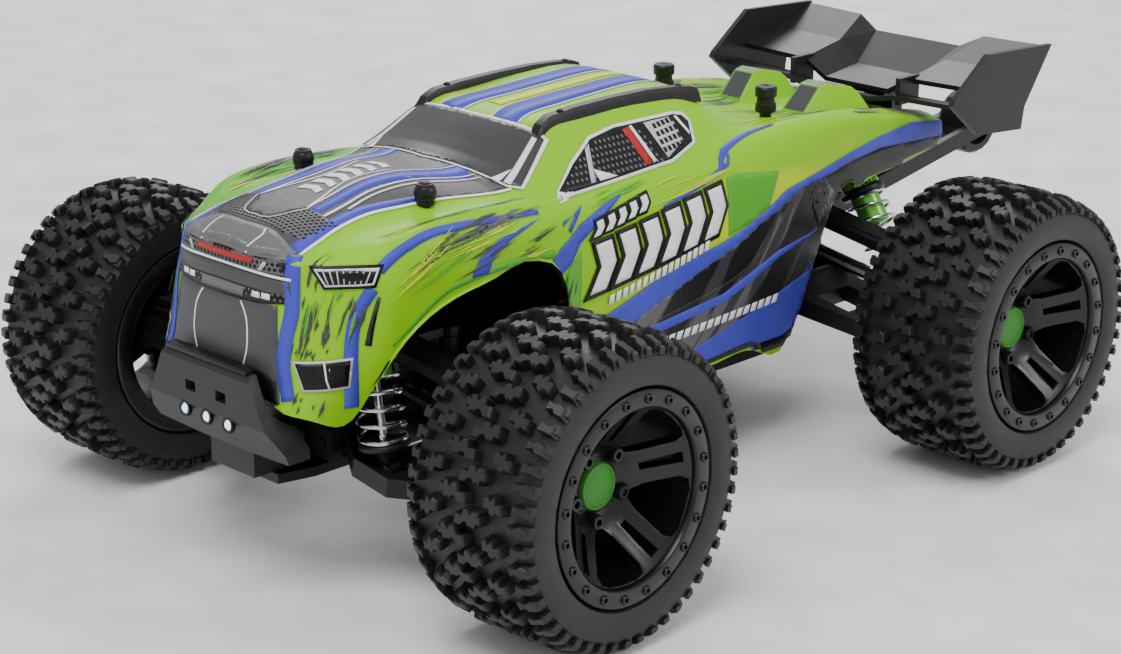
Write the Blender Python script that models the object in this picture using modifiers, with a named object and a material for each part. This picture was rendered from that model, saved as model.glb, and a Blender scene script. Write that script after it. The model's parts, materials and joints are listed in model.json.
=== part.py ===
"""Four-wheel-drive monster truck, a remote-controlled toy of about 1:14 scale.

The truck stands on its four tyres with +Z up. Its nose points along -Y and its left side is at +X.
The origin is under the middle of its bounding box, on the ground. Lengths below are in millimetres
and are turned into metres where a mesh is made. Heights are measured from the ground, and y from the
middle of the wheelbase.
"""

import math

import bmesh
import bpy
from mathutils import Matrix, Vector

MM = 0.001
GAP = 0.3

# Driving dimensions
WHEELBASE = 194.0
TYRE_RADIUS = 46.2
TYRE_WIDTH = 45.4
TRACK = 194.0
FRONT_END = -149.8
REAR_END = 225.5
AXLE_Z = TYRE_RADIUS
STEER_AT_REST = math.radians(1.8)

# Wheel: offsets along the axle from the wheel's middle plane, outwards, and radii
RIM_FLANGE_RADIUS = 31.3
RIM_BARREL_RADIUS = 27.5
RIM_BORE_RADIUS = 25.0
SPOKES = 5
HUB_RADIUS = 9.0
STUB_AXLE_RADIUS = 3.0

# Suspension pivots, x and z, for the left side
LOWER_INNER = (16.0, 41.0)
LOWER_OUTER = (78.0, 31.0)
UPPER_INNER = (18.0, 69.7)
UPPER_OUTER = (72.0, 61.0)
SHAFT_INNER = (15.0, 56.4)
SHAFT_OUTER = (80.0, AXLE_Z)
KING_PIN_X = 82.0
SHOCK_PLANE = 18.5
SHOCK_TOP = {"front": (31.0, 90.0), "rear": (21.0, 84.0)}
SHOCK_FOOT_X = {"front": 39.5, "rear": 52.0}
PIN_RADIUS = 1.5
SHOCK_STUD_RADIUS = 1.4
PIN_HOLE_RADIUS = 1.8

# Steering linkage
KNUCKLE_ARM = 14.0
TIE_ROD_OUT = KNUCKLE_ARM - 0.6
TIE_ROD_INNER_X = 24.0
TIE_ROD_OUTER_Z = 50.0
HORN_PIVOT = (12.0, -66.0)

# Drive train
SHAFT_Z = 48.5
GEAR_MODULE = 0.8
SPUR_TEETH = 31
PINION_TEETH = 12
GEAR_Y = (12.0, 16.0)
PINION_X = -17.1
PINION_Z = 46.5

# Wheelie bar and wing
WHEELIE_RADIUS = 12.0
WHEELIE_CENTRE = (0.0, 213.5, 76.5)
WING_HALF_SPAN = 55.5

# Body shell: sections from the nose to the tail, each from the centre line out and down to the hem.
# The columns are centre, bonnet or deck bulge, roof edge, valley, fender crest, widest, crease and hem.
BODY_THICKNESS = 1.0
BODY_SECTIONS = [
    [(0, -141, 104), (12, -140, 104), (23, -136.5, 102.3), (34, -128, 101),
     (41, -121, 97), (43, -119, 88), (42, -121, 72), (38, -127, 56)],
    [(0, -128, 109.5), (13, -127, 109), (24, -124, 106), (34, -120, 104.5),
     (41, -114, 104.5), (44.5, -111, 95), (44, -113, 79), (43.5, -116.5, 74)],
    [(0, -108, 112.5), (14, -107, 112.3), (27, -105, 107.8), (36, -104, 107),
     (42, -102, 109), (46, -99, 99), (46, -99, 88), (46, -100, 86)],
    [(0, -84, 115), (15, -83, 114.5), (31, -82, 109), (37, -81, 108),
     (42.5, -80, 109.5), (47, -79, 101), (47, -79, 92), (47, -79, 90.5)],
    [(0, -63, 114.5), (18, -62, 113), (35.5, -58.6, 109.5), (38.5, -58, 108.3),
     (43, -57, 108), (47, -56, 100), (47, -56, 92), (47, -56, 90)],
    [(0, -43, 123.5), (15, -42.5, 123), (29.9, -41.1, 120.7), (40, -44, 108),
     (44.5, -43, 105), (47, -43, 97), (47, -44, 72), (46.5, -45, 66)],
    [(0, -25, 126), (15, -25, 125.5), (27.5, -25, 123.5), (41, -25, 108.5),
     (44.5, -25, 104), (47.5, -25, 95), (48, -25, 70), (44, -25, 36)],
    [(0, 5, 127), (15, 5, 126.5), (27, 5, 124.5), (41, 2, 109),
     (44.5, 2, 105), (47.5, 2, 95), (48, 2, 68), (43, 2, 36)],
    [(0, 27, 124), (15, 27, 123.5), (27, 27, 121.5), (40.5, 22, 110),
     (44, 22, 106), (47, 22, 95), (47, 22, 66), (42, 24, 36)],
    [(0, 44, 110), (14, 44, 110), (27, 44, 110), (37, 43, 109.5),
     (42, 42, 107), (45.5, 40, 97), (46, 40, 66), (41, 44, 36)],
    [(0, 62, 107), (14, 62, 107), (27, 62, 108.5), (36, 62, 109),
     (41, 62, 106.5), (43.5, 62, 95), (43.5, 64, 70), (41, 62, 36)],
    [(0, 85, 103.5), (14, 85, 103.5), (25, 85, 105.5), (34, 85, 108),
     (39.5, 85, 105.5), (41, 85, 94), (41, 84, 82), (40.5, 84, 80)],
    [(0, 95, 103), (14, 95, 104), (24, 96, 104), (32.5, 97, 106.5),
     (38.5, 97, 104), (39.5, 97, 93), (39.5, 97, 84), (39, 97, 81)],
    [(0, 104, 102.5), (14, 103, 112), (23.5, 104, 103.5), (31.5, 104, 105.5),
     (37.5, 104, 103), (38.5, 104, 92), (38.5, 104, 84.5), (38, 104, 81.5)],
    [(0, 117, 100.5), (15, 117, 108.5), (22.5, 117, 101.5), (30, 116, 103),
     (36.5, 116, 100.5), (37, 116, 91), (37, 116, 85), (36.5, 116, 82)],
    [(0, 126, 98.5), (15, 123, 102.5), (21.5, 126, 100), (29, 126, 100.5),
     (35.5, 126, 98.5), (36, 126, 90.5), (36, 126, 85.5), (35.5, 126, 82.5)],
    [(0, 154, 93), (13, 154, 93), (20, 154, 94.5), (26, 153, 94.5),
     (32, 153, 93), (32.5, 153, 90), (32.5, 153, 87), (32, 153, 84.5)],
]
# Levels that close the nose and the tail, below the first and last sections' inner four points
NOSE_LEVELS = [
    [(0, -141, 98), (12, -140.5, 98), (23.5, -137.5, 97), (34, -129, 96)],
    [(0, -142.5, 87), (12, -142, 87), (24, -139.5, 86), (35, -131, 84)],
    [(0, -144, 72), (12, -143.5, 71.5), (26, -141.5, 70), (36, -134, 68)],
    [(0, -143.5, 64), (12, -143, 63), (28, -143.5, 59.5), (35, -137, 57)],
]
TAIL_LEVELS = [
    [(0, 155, 90), (13, 155, 90), (20, 155, 90), (26, 154.5, 90)],
    [(0, 155.5, 87), (13, 155.5, 87), (20, 155.5, 87), (26, 155, 87)],
    [(0, 155.5, 84.5), (13, 155.5, 84.5), (20, 155.5, 84.5), (26, 155, 84.5)],
]
BODY_POSTS = {"front": (27.5, -88.4), "rear": (23.0, 68.0)}
KNOB_Z = {"front": (111.5, 116.0), "rear": (111.0, 118.0)}
POST_RADIUS = 2.0
KNOB_RADIUS = 3.2

COLOURS = {
    "lime_shell": ((0.30, 0.55, 0.02), 0.25, 0.0),
    "black_plastic": ((0.03, 0.03, 0.033), 0.5, 0.0),
    "grey_plastic": ((0.10, 0.10, 0.105), 0.5, 0.0),
    "tyre_rubber": ((0.025, 0.025, 0.026), 0.8, 0.0),
    "rim_plastic": ((0.045, 0.045, 0.048), 0.4, 0.0),
    "bright_steel": ((0.75, 0.75, 0.77), 0.2, 1.0),
    "spring_steel": ((0.70, 0.70, 0.72), 0.25, 1.0),
    "green_aluminium": ((0.25, 0.55, 0.12), 0.3, 1.0),
    "motor_can": ((0.55, 0.56, 0.58), 0.35, 1.0),
    "brass_gear": ((0.60, 0.45, 0.20), 0.35, 1.0),
    "nylon_gear": ((0.12, 0.12, 0.13), 0.45, 0.0),
    "battery_wrap": ((0.05, 0.10, 0.35), 0.4, 0.0),
}


# ---------------------------------------------------------------- scene and materials

def clear_scene():
    for obj in list(bpy.data.objects):
        bpy.data.objects.remove(obj, do_unlink=True)


def new_collection(name):
    collection = bpy.data.collections.new(name)
    bpy.context.scene.collection.children.link(collection)
    return collection


def make_material(name):
    colour, roughness, metallic = COLOURS[name]
    material = bpy.data.materials.new(name)
    material.use_nodes = True
    shader = material.node_tree.nodes["Principled BSDF"]
    shader.inputs["Base Color"].default_value = (*colour, 1.0)
    shader.inputs["Roughness"].default_value = roughness
    shader.inputs["Metallic"].default_value = metallic
    return material


clear_scene()
TRUCK = new_collection("monster_truck")
CUTTERS = new_collection("cutters")
MATERIALS = {name: make_material(name) for name in COLOURS}

ROOT = bpy.data.objects.new("truck_frame", None)
ROOT.location = (0.0, -(FRONT_END + REAR_END) / 2 * MM, 0.0)
TRUCK.objects.link(ROOT)


# ---------------------------------------------------------------- shapes, in millimetres

def block(low, high):
    """A box between two corners, which may be given in any order."""
    shape = bmesh.new()
    bmesh.ops.create_cube(shape, size=1.0)
    low, high = Vector(low), Vector(high)
    size = Vector([abs(b - a) for a, b in zip(low, high)])
    bmesh.ops.transform(shape, matrix=Matrix.Translation((low + high) / 2) @ Matrix.Diagonal((*size, 1)),
                        verts=shape.verts)
    return shape


def rod(start, end, radius, end_radius=None, segments=None):
    """A cylinder or cone from one point to another; slim ones get fewer sides."""
    start, end = Vector(start), Vector(end)
    segments = segments or (8 if radius < 2.5 else 12)
    shape = bmesh.new()
    bmesh.ops.create_cone(shape, cap_ends=True, segments=segments, radius1=radius,
                          radius2=radius if end_radius is None else end_radius,
                          depth=(end - start).length)
    turn = (end - start).to_track_quat("Z", "Y").to_matrix().to_4x4()
    bmesh.ops.transform(shape, matrix=Matrix.Translation((start + end) / 2) @ turn, verts=shape.verts)
    return shape


def long_rod(x, y_low, y_high, z, radius):
    """A rod along the truck's length."""
    return rod((x, y_low, z), (x, y_high, z), radius)


def side_rod(x_low, x_high, y, z, radius):
    """A rod across the truck."""
    return rod((x_low, y, z), (x_high, y, z), radius)


def ball(centre, radius):
    shape = bmesh.new()
    bmesh.ops.create_uvsphere(shape, u_segments=8, v_segments=6, radius=radius)
    bmesh.ops.translate(shape, vec=Vector(centre), verts=shape.verts)
    return shape


def prism(outline, axis, low, high):
    """A flat outline extruded along an axis; the outline's two numbers are the other two axes in order."""
    index = "xyz".index(axis)
    shape = bmesh.new()
    corners = []
    for pair in outline:
        point = list(pair)
        point.insert(index, low)
        corners.append(shape.verts.new(point))
    face = shape.faces.new(corners)
    grown = bmesh.ops.extrude_face_region(shape, geom=[face])
    top = [item for item in grown["geom"] if isinstance(item, bmesh.types.BMVert)]
    shift = Vector((0, 0, 0))
    shift[index] = high - low
    bmesh.ops.translate(shape, vec=shift, verts=top)
    bmesh.ops.recalc_face_normals(shape, faces=shape.faces)
    return shape


def moved(shape, matrix):
    bmesh.ops.transform(shape, matrix=matrix, verts=shape.verts)
    return shape


def mirrored_outline(half):
    """A closed outline from its right half, which runs from the centre line round to it again."""
    return half + [(-x, other) for x, other in reversed(half) if x != 0]


# ---------------------------------------------------------------- objects

def place(name, shape, material, pivot=(0, 0, 0), parent=None, smooth_angle=None):
    """Turn a shape into an object whose origin is the pivot, with its mesh in metres."""
    bmesh.ops.translate(shape, vec=-Vector(pivot), verts=shape.verts)
    bmesh.ops.scale(shape, vec=(MM, MM, MM), verts=shape.verts)
    mesh = bpy.data.meshes.new(name)
    shape.to_mesh(mesh)
    shape.free()
    obj = bpy.data.objects.new(name, mesh)
    obj.location = Vector(pivot) * MM
    obj.parent = parent or ROOT
    if material is None:
        CUTTERS.objects.link(obj)
        obj.hide_render = True
        obj.display_type = "WIRE"
    else:
        TRUCK.objects.link(obj)
        mesh.materials.append(MATERIALS[material])
    if smooth_angle:
        mesh.shade_smooth()
        mesh.set_sharp_from_angle(angle=math.radians(smooth_angle))
    return obj


def combine(obj, operation, shape, pivot=(0, 0, 0), parent=None):
    """Unite a shape with an object, or cut it away."""
    tool = place(f"{obj.name}_tool", shape, None, pivot, parent)
    modifier = obj.modifiers.new(operation.lower(), "BOOLEAN")
    modifier.operation = operation
    modifier.object = tool
    return obj


def solid(name, material, shape, adds=(), cuts=(), late=(), pivot=(0, 0, 0), parent=None):
    """One closed solid: a shape with others united, then cut, and some united last."""
    obj = place(name, shape, material, pivot, parent, smooth_angle=35)
    for extra in adds:
        combine(obj, "UNION", extra, parent=parent)
    for extra in cuts:
        combine(obj, "DIFFERENCE", extra, parent=parent)
    for extra in late:
        combine(obj, "UNION", extra, parent=parent)
    return obj


def turned(name, material, profile, origin, direction, steps, closed=False, parent=None):
    """A turned solid: (radius, height) points from the top of the outer side down, about a direction."""
    shape = bmesh.new()
    verts = [shape.verts.new((radius, 0, height)) for radius, height in profile]
    for first, second in zip(verts, verts[1:]):
        shape.edges.new((first, second))
    if closed:
        shape.edges.new((verts[-1], verts[0]))
    obj = place(name, shape, material, parent=parent)
    obj.location = Vector(origin) * MM
    obj.rotation_mode = "QUATERNION"
    obj.rotation_quaternion = Vector(direction).to_track_quat("Z", "Y")
    screw = obj.modifiers.new("turn", "SCREW")
    screw.steps = steps
    screw.render_steps = steps
    screw.use_merge_vertices = True
    screw.merge_threshold = 0.00001
    screw.use_smooth_shade = True
    return obj


# ---------------------------------------------------------------- chassis, bumper and electronics

def make_chassis():
    half = [(0, -134), (12, -134), (15, -122), (15, -72), (36, -56), (37, -50),
            (37, 58), (34, 66), (15, 76), (15, 122), (12, 126), (0, 126)]
    solid("chassis_tray", "black_plastic", prism(mirrored_outline(half), "z", 31, 42),
          cuts=[block((-34.5, -150, 34), (34.5, 150, 50))])


def make_bumper():
    side = [(-147.5, 71), (-149.8, 68), (-149.8, 55), (-143.5, 43.5), (-136, 43), (-138.5, 54),
            (-146.4, 58), (-146.4, 71)]
    half = [(0, 71.5), (19.5, 70), (25, 58), (28, 53), (31, 48), (30, 44.5), (0, 43)]
    bumper = solid("front_bumper", "grey_plastic", prism(side, "x", -40, 40))
    combine(bumper, "INTERSECT", prism(mirrored_outline(half), "y", -155, -130))
    combine(bumper, "UNION", block((-10, -141, 34 + GAP), (10, -122, 44)))
    for x in (-7, 7):
        combine(bumper, "DIFFERENCE", block((x - 2.3, -151, 59.2), (x + 2.3, -145, 62.4)))


def make_electronics():
    floor = 34 + GAP
    solid("battery_pack", "battery_wrap", block((6, -46, floor), (32, 8, 56)))
    solid("receiver_unit", "black_plastic", block((-32, -46, floor), (-6, -10, 50)))
    solid("steering_servo", "black_plastic", block((4, -72, 35), (27, -50, 56)),
          adds=[rod((*HORN_PIVOT, 55), (*HORN_PIVOT, 61), 4)])
    motor_y = (22, 60)
    solid("drive_motor", "motor_can", rod((PINION_X, motor_y[0], PINION_Z),
                                          (PINION_X, motor_y[1], PINION_Z), 11.5, segments=24),
          adds=[rod((PINION_X, motor_y[1] - 1, PINION_Z), (PINION_X, motor_y[1] + 4, PINION_Z), 5)])


# ---------------------------------------------------------------- drive train

def gear_outline(teeth, centre, phase):
    """Tapered teeth on a pitch circle of the gear module."""
    pitch_radius = GEAR_MODULE * teeth / 2
    step = 2 * math.pi / teeth
    corners = [(-0.30, -1.15), (-0.13, 0.85), (0.13, 0.85), (0.30, -1.15)]
    outline = []
    for tooth in range(teeth):
        for offset, rise in corners:
            angle = phase + (tooth + offset) * step
            radius = pitch_radius + rise * GEAR_MODULE
            outline.append((centre[0] + radius * math.cos(angle), centre[1] + radius * math.sin(angle)))
    return outline


def make_drive_train():
    """The spur gear is moulded on the shaft between the gearboxes, and the pinion is on the motor's."""
    to_spur = math.atan2(SHAFT_Z - PINION_Z, -PINION_X)
    spur = gear_outline(SPUR_TEETH, (0, SHAFT_Z), to_spur + math.pi)
    solid("spur_gear_shaft", "nylon_gear", prism(spur, "y", *GEAR_Y), pivot=(0, 0, SHAFT_Z),
          adds=[rod((0, -92, SHAFT_Z), (0, 92, SHAFT_Z), 2)])
    pinion = gear_outline(PINION_TEETH, (PINION_X, PINION_Z), to_spur + math.pi / PINION_TEETH)
    pivot = (PINION_X, 0, PINION_Z)
    solid("pinion_gear", "brass_gear", prism(pinion, "y", *GEAR_Y), pivot=pivot,
          adds=[rod((PINION_X, GEAR_Y[0] - 2, PINION_Z), (PINION_X, 22 - GAP, PINION_Z), 1.2)])


def make_gearbox(end, sign):
    """The axle gearbox, with the lugs that carry the arms' inner pins. Its y is mirrored at the rear."""
    axle = sign * WHEELBASE / 2

    def y(out):
        return axle + sign * out

    lugs = [block((-20, y(out), 36), (20, y(out + sign_of(out) * 4), 46)) for out in (19, -19)]
    ears = [block((-21, y(out), 64), (21, y(out + sign_of(out) * 2.7), 73)) for out in (3.3, -3.3)]
    base = block((-11, y(-23), 34 + GAP), (11, y(23), 38))
    outputs = [side_rod(side * 9, side * 17, axle, SHAFT_INNER[1], 6.5) for side in (1, -1)]
    cups = [side_rod(side * 8, side * 20, axle, SHAFT_INNER[1], 5) for side in (1, -1)]
    pins = [long_rod(side * UPPER_INNER[0], y(-5.5), y(5.5), UPPER_INNER[1], PIN_RADIUS) for side in (1, -1)]
    holes = [long_rod(side * LOWER_INNER[0], y(-30), y(30), LOWER_INNER[1], PIN_HOLE_RADIUS)
             for side in (1, -1)]
    shaft_hole = rod((0, y(-15), SHAFT_Z), (0, y(-4), SHAFT_Z), 2 + GAP)
    gap = block((-30, y(-3.2), 68), (30, y(3.2), 80))
    solid(f"{end}_gearbox", "black_plastic", block((-11, y(-9), 36), (11, y(14), 68)),
          adds=[base, *lugs, *ears, *outputs], cuts=[gap, *holes, *cups, shaft_hole], late=pins)


def sign_of(number):
    return 1 if number > 0 else -1


# ---------------------------------------------------------------- towers and body mounts

def make_tower(end, sign):
    """The plate behind each pair of shocks, with the studs that their top eyes hang on."""
    axle = sign * WHEELBASE / 2
    top_x, top_z = SHOCK_TOP[end]
    y_low, y_high = axle + sign * 6.9, axle + sign * 9.9
    half = [(0, 68 + GAP), (10, 68 + GAP), (16, 76), (top_x + 4, top_z - 5), (top_x + 5, top_z + 3),
            (top_x, top_z + 6), (top_x - 8, top_z + 2), (8, top_z - 3), (0, top_z - 3)]
    studs = [long_rod(side * top_x, y_high - sign, axle + sign * 23, top_z, SHOCK_STUD_RADIUS)
             for side in (1, -1)]
    plate = prism(mirrored_outline(half), "y", y_low, y_high)
    solid(f"{end}_shock_tower", "black_plastic", plate, adds=studs)


def make_body_mount(end, sign, beam_z):
    """A cross beam on the tower, with two posts and the knobs that hold the body shell down."""
    x, y = BODY_POSTS[end]
    tower_y = sign * (WHEELBASE / 2 + 6.9 - GAP)
    beam = block((-x - 3, y - 2.5, beam_z), (x + 3, y + 2.5, beam_z + 4))
    y_low, y_high = min(y, tower_y), max(y, tower_y)
    arms = [block((side * 4, y_low, beam_z), (side * 9, y_high, beam_z + 4)) for side in (1, -1)]
    bottom, top = KNOB_Z[end]
    posts = [rod((side * x, y, beam_z + 2), (side * x, y, top - 1), POST_RADIUS) for side in (1, -1)]
    knobs = [rod((side * x, y, bottom), (side * x, y, top), KNOB_RADIUS, KNOB_RADIUS * 0.8)
             for side in (1, -1)]
    solid(f"{end}_body_mount", "black_plastic", beam, adds=[*arms, *posts, *knobs])


# ---------------------------------------------------------------- suspension, one corner at a time

def corner_y(sign, out=0.0):
    """A place along the truck, given as a distance outwards from the corner's axle."""
    return sign * (WHEELBASE / 2 + out)


def make_lower_arm(name, end, sign, side):
    """A wide A-arm with a slot for the shock's foot; it is built level and then tilted down."""
    length = math.dist(LOWER_INNER, LOWER_OUTER)
    slope = math.atan2(LOWER_OUTER[1] - LOWER_INNER[1], LOWER_OUTER[0] - LOWER_INNER[0])
    foot = (SHOCK_FOOT_X[end] - LOWER_INNER[0]) / math.cos(slope)
    outline = [(0, -17), (0, 18), (5, 18), (foot - 8, 25), (foot + 7, 25), (max(foot + 10, 46), 9.6),
               (length - 4, 9.6), (length - 4, -9.6), (44, -9.6)]
    if sign * side < 0:
        outline = outline[::-1]
    outline = [(side * x, sign * y) for x, y in outline]
    frame = (Matrix.Translation((side * LOWER_INNER[0], corner_y(sign), LOWER_INNER[1]))
             @ Matrix.Rotation(-side * slope, 4, "Y"))

    def across(x, low, high, radius):
        return moved(rod((side * x, sign * low, 0), (side * x, sign * high, 0), radius), frame)

    def space(low, high):
        corners = [(side * x, sign * y, z) for x, y, z in (low, high)]
        return moved(block(*corners), frame)

    barrel = across(0, -18.5, 18.5, 3.5)
    tips = [across(length, low, high, 3.2) for low, high in ((6.3, 9.6), (-6.3, -9.6))]
    arms = [space((length - 6, low, -2.6), (length, high, 2.6)) for low, high in ((6.3, 9.6), (-6.3, -9.6))]
    fork = space((length - 7.5, -6.3, -6), (length + 6, 6.3, 6))
    slot = space((foot - 6, 15.2, -8), (foot + 5.5, 21.8, 8))
    windows = space((14, -8, -8), (foot - 8, 9, 8)) if foot > 26 else space((9, -8, -8), (19, 9, 8))
    tip_holes = across(length, -12, 12, PIN_HOLE_RADIUS)
    pins = across(0, -23.5, 23.5, PIN_RADIUS)
    stud = across(foot, 14, 24, SHOCK_STUD_RADIUS)
    solid(name, "black_plastic", moved(prism(outline, "z", -3, 3), frame),
          adds=[barrel], cuts=[fork, slot, windows], late=[*arms, *tips, pins, stud],
          pivot=(side * LOWER_INNER[0], corner_y(sign), LOWER_INNER[1]))
    combine(bpy.data.objects[name], "DIFFERENCE", tip_holes)


def make_upper_link(name, sign, side):
    """The upper arm: a flat link between the gearbox's ears and the hub's."""
    inner = Vector((side * UPPER_INNER[0], corner_y(sign), UPPER_INNER[1]))
    outer = Vector((side * UPPER_OUTER[0], corner_y(sign), UPPER_OUTER[1]))
    slope = math.atan2(UPPER_OUTER[1] - UPPER_INNER[1], UPPER_OUTER[0] - UPPER_INNER[0])
    length = (outer - inner).length
    frame = Matrix.Translation(inner) @ Matrix.Rotation(-side * slope, 4, "Y")
    thick = Vector((0, 3, 0))
    eyes = [rod(point - thick, point + thick, 3.0) for point in (inner, outer)]
    holes = [rod(point - thick * 2, point + thick * 2, PIN_HOLE_RADIUS) for point in (inner, outer)]
    plate = block((side * 6, -6, -1.6), (side * (length - 8), 6, 1.6))
    bar = block((0, -3, -2), (side * length, 3, 2))
    solid(name, "black_plastic", moved(bar, frame), adds=[moved(plate, frame), *eyes], cuts=holes,
          pivot=inner)


def upright_shapes(sign, side):
    """What the front C-hub and the rear hub carrier share: wall, lower barrel and upper ears."""
    lower_x, lower_z = side * LOWER_OUTER[0], LOWER_OUTER[1]
    upper_x, upper_z = side * UPPER_OUTER[0], UPPER_OUTER[1]
    lengths = [(corner_y(sign, -out), corner_y(sign, out)) for out in (6, 10, 5.5)]
    wall = block((side * 73.3, corner_y(sign, -7.4), 36.8), (side * 76, corner_y(sign, 7.4), 62))
    foot = block((side * 73.5, corner_y(sign, -5), 33.2), (side * 81, corner_y(sign, 5), 37.4))
    barrel = long_rod(lower_x, *lengths[0], lower_z, 3.4)
    ears = [block((side * 69.5, corner_y(sign, out), 58.5), (side * 76, corner_y(sign, out * 6 / 3.3), 64))
            for out in (3.3, -3.3)]
    lower_pin = long_rod(lower_x, *lengths[1], lower_z, PIN_RADIUS)
    upper_pin = long_rod(upper_x, *lengths[2], upper_z, PIN_RADIUS)
    link_space = block((side * 60, corner_y(sign, -3.3), 57.2), (side * 75, corner_y(sign, 3.3), 70))
    shaft_hole = side_rod(side * 70, side * 77.5, corner_y(sign), AXLE_Z + 0.6, 6.2)
    return wall, [foot, barrel, *ears], [link_space, shaft_hole], [lower_pin, upper_pin]


def make_c_hub(name, side):
    """The front C-hub, whose two ears hold the king pin."""
    y = corner_y(-1)
    wall, adds, cuts, late = upright_shapes(-1, side)
    ears = [block((side * 74, y - 5, low), (side * 87, y + 5, low + 3)) for low in (34.4, 55.2)]
    pin_hole = rod((side * KING_PIN_X, y, 34), (side * KING_PIN_X, y, 66), PIN_HOLE_RADIUS)
    solid(name, "black_plastic", wall, adds=[*adds, *ears], cuts=[*cuts, pin_hole], late=late,
          pivot=(side * LOWER_OUTER[0], y, LOWER_OUTER[1]))


def make_hub_carrier(name, side):
    """The rear hub carrier, with the bearing barrel of the wheel's axle."""
    y = corner_y(1)
    wall, adds, cuts, late = upright_shapes(1, side)
    barrel = rod((side * 75, y, AXLE_Z), (side * 92, y, AXLE_Z), 8.5, segments=16)
    cup = rod((side * 72, y, AXLE_Z), (side * 85, y, AXLE_Z), 5.2)
    bore = rod((side * 80, y, AXLE_Z), (side * 95, y, AXLE_Z), STUB_AXLE_RADIUS + GAP)
    solid(name, "black_plastic", wall, adds=[*adds, barrel], cuts=[*cuts, cup, bore], late=late,
          pivot=(side * LOWER_OUTER[0], y, LOWER_OUTER[1]))


def make_steer_frame(side):
    """An empty on the king pin, turned by the steering angle that the front wheels rest at."""
    empty = bpy.data.objects.new(f"steer_frame_{side}", None)
    empty.location = Vector((side * KING_PIN_X, corner_y(-1), 0)) * MM
    empty.rotation_euler.z = STEER_AT_REST
    empty.parent = ROOT
    TRUCK.objects.link(empty)
    return empty


def make_knuckle(name, side, frame):
    """The steering knuckle, in the king pin's own frame: bearing barrel, pins and steering arm."""
    barrel = rod((-side * 3.5, 0, AXLE_Z), (side * 10, 0, AXLE_Z), 7.5, segments=16)
    post = rod((0, 0, 37.7), (0, 0, 54.9), 3.2)
    arm = block((-2.2, 3, 52.3), (2.2, KNUCKLE_ARM + 2.5, 54.8))
    root = block((-2.2, 4, 48), (2.2, 7.4, 54))
    stud = rod((0, KNUCKLE_ARM, 48.5), (0, KNUCKLE_ARM, 54), PIN_RADIUS)
    cup = rod((-side * 12, 0, AXLE_Z), (side * 3, 0, AXLE_Z), 5.2)
    bore = rod((-side * 2, 0, AXLE_Z), (side * 12, 0, AXLE_Z), STUB_AXLE_RADIUS + GAP)
    pins = [rod((0, 0, low), (0, 0, high), PIN_RADIUS) for low, high in ((34, 40), (53, 58.5))]
    solid(name, "black_plastic", barrel, adds=[post, arm, root, stud], cuts=[cup, bore], late=pins,
          parent=frame)


def make_drive_shaft(name, sign, side):
    """A steel shaft with a ball at each end, in the gearbox's cup and the hub's."""
    y = corner_y(sign)
    inner = Vector((side * SHAFT_INNER[0], y, SHAFT_INNER[1]))
    outer = Vector((side * SHAFT_OUTER[0], y, SHAFT_OUTER[1]))
    along = (outer - inner).normalized()
    sleeve = rod(inner + along * 9, inner + along * 32, 2.7)
    solid(name, "bright_steel", rod(inner, outer, 2.1), adds=[sleeve, ball(inner, 3.6), ball(outer, 3.6)],
          pivot=inner)


# ---------------------------------------------------------------- shocks

SHOCK_COLLAR = (4.5, 11.5)
SHOCK_RETAINER = (12.0, 14.0)
SHOCK_BODY_END = 25.0
SHOCK_BORE_END = 13.5
SPRING_SPAN = (14.3, 43.7)
PERCH_SPAN = (44.0, 46.5)
SPRING_RADIUS = 7.4
SPRING_WIRE = 0.55
SPRING_TURNS = 5.5
ROD_RADIUS = 1.2


def shock_line(end, sign, side):
    """The shock's top and bottom eyes, and the direction from top to bottom."""
    slope = (LOWER_OUTER[1] - LOWER_INNER[1]) / (LOWER_OUTER[0] - LOWER_INNER[0])
    foot_x = SHOCK_FOOT_X[end]
    foot_z = LOWER_INNER[1] + (foot_x - LOWER_INNER[0]) * slope
    top_x, top_z = SHOCK_TOP[end]
    y = corner_y(sign, SHOCK_PLANE)
    top = Vector((side * top_x, y, top_z))
    foot = Vector((side * foot_x, y, foot_z))
    return top, foot, (foot - top).normalized()


def make_shock(name, end, sign, side):
    top, foot, down = shock_line(end, sign, side)
    length = (foot - top).length
    across = Vector((0, 3, 0))
    bore = ROD_RADIUS + 0.6
    profile = [(0, -2.8), (3.4, -2.8), (3.4, -SHOCK_COLLAR[0]), (6.5, -SHOCK_COLLAR[0]),
               (6.5, -SHOCK_COLLAR[1]), (7.3, -SHOCK_RETAINER[0]), (7.3, -SHOCK_RETAINER[1]),
               (5.0, -SHOCK_RETAINER[1]), (5.0, -SHOCK_BODY_END), (bore, -SHOCK_BODY_END),
               (bore, -SHOCK_BORE_END), (0, -SHOCK_BORE_END)]
    body = turned(f"{name}_shock_body", "green_aluminium", profile, top, -down, 12)
    combine(body, "UNION", rod(top - across, top + across, 4.2))
    combine(body, "DIFFERENCE", rod(top - across * 2, top + across * 2, 2.1))

    rod_end, perch_top, perch_foot = length - 22, length - PERCH_SPAN[0], length - PERCH_SPAN[1]
    foot_profile = [(0, rod_end), (ROD_RADIUS, rod_end), (ROD_RADIUS, perch_top), (7.5, perch_top),
                    (7.5, perch_foot), (2.4, perch_foot), (2.4, 2), (0, 2)]
    shaft = turned(f"{name}_shock_rod", "bright_steel", foot_profile, foot, -down, 10)
    combine(shaft, "UNION", rod(foot - across, foot + across, 3.8))
    combine(shaft, "DIFFERENCE", rod(foot - across * 2, foot + across * 2, 2.1))
    make_spring(f"{name}_spring", top, down)


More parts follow.
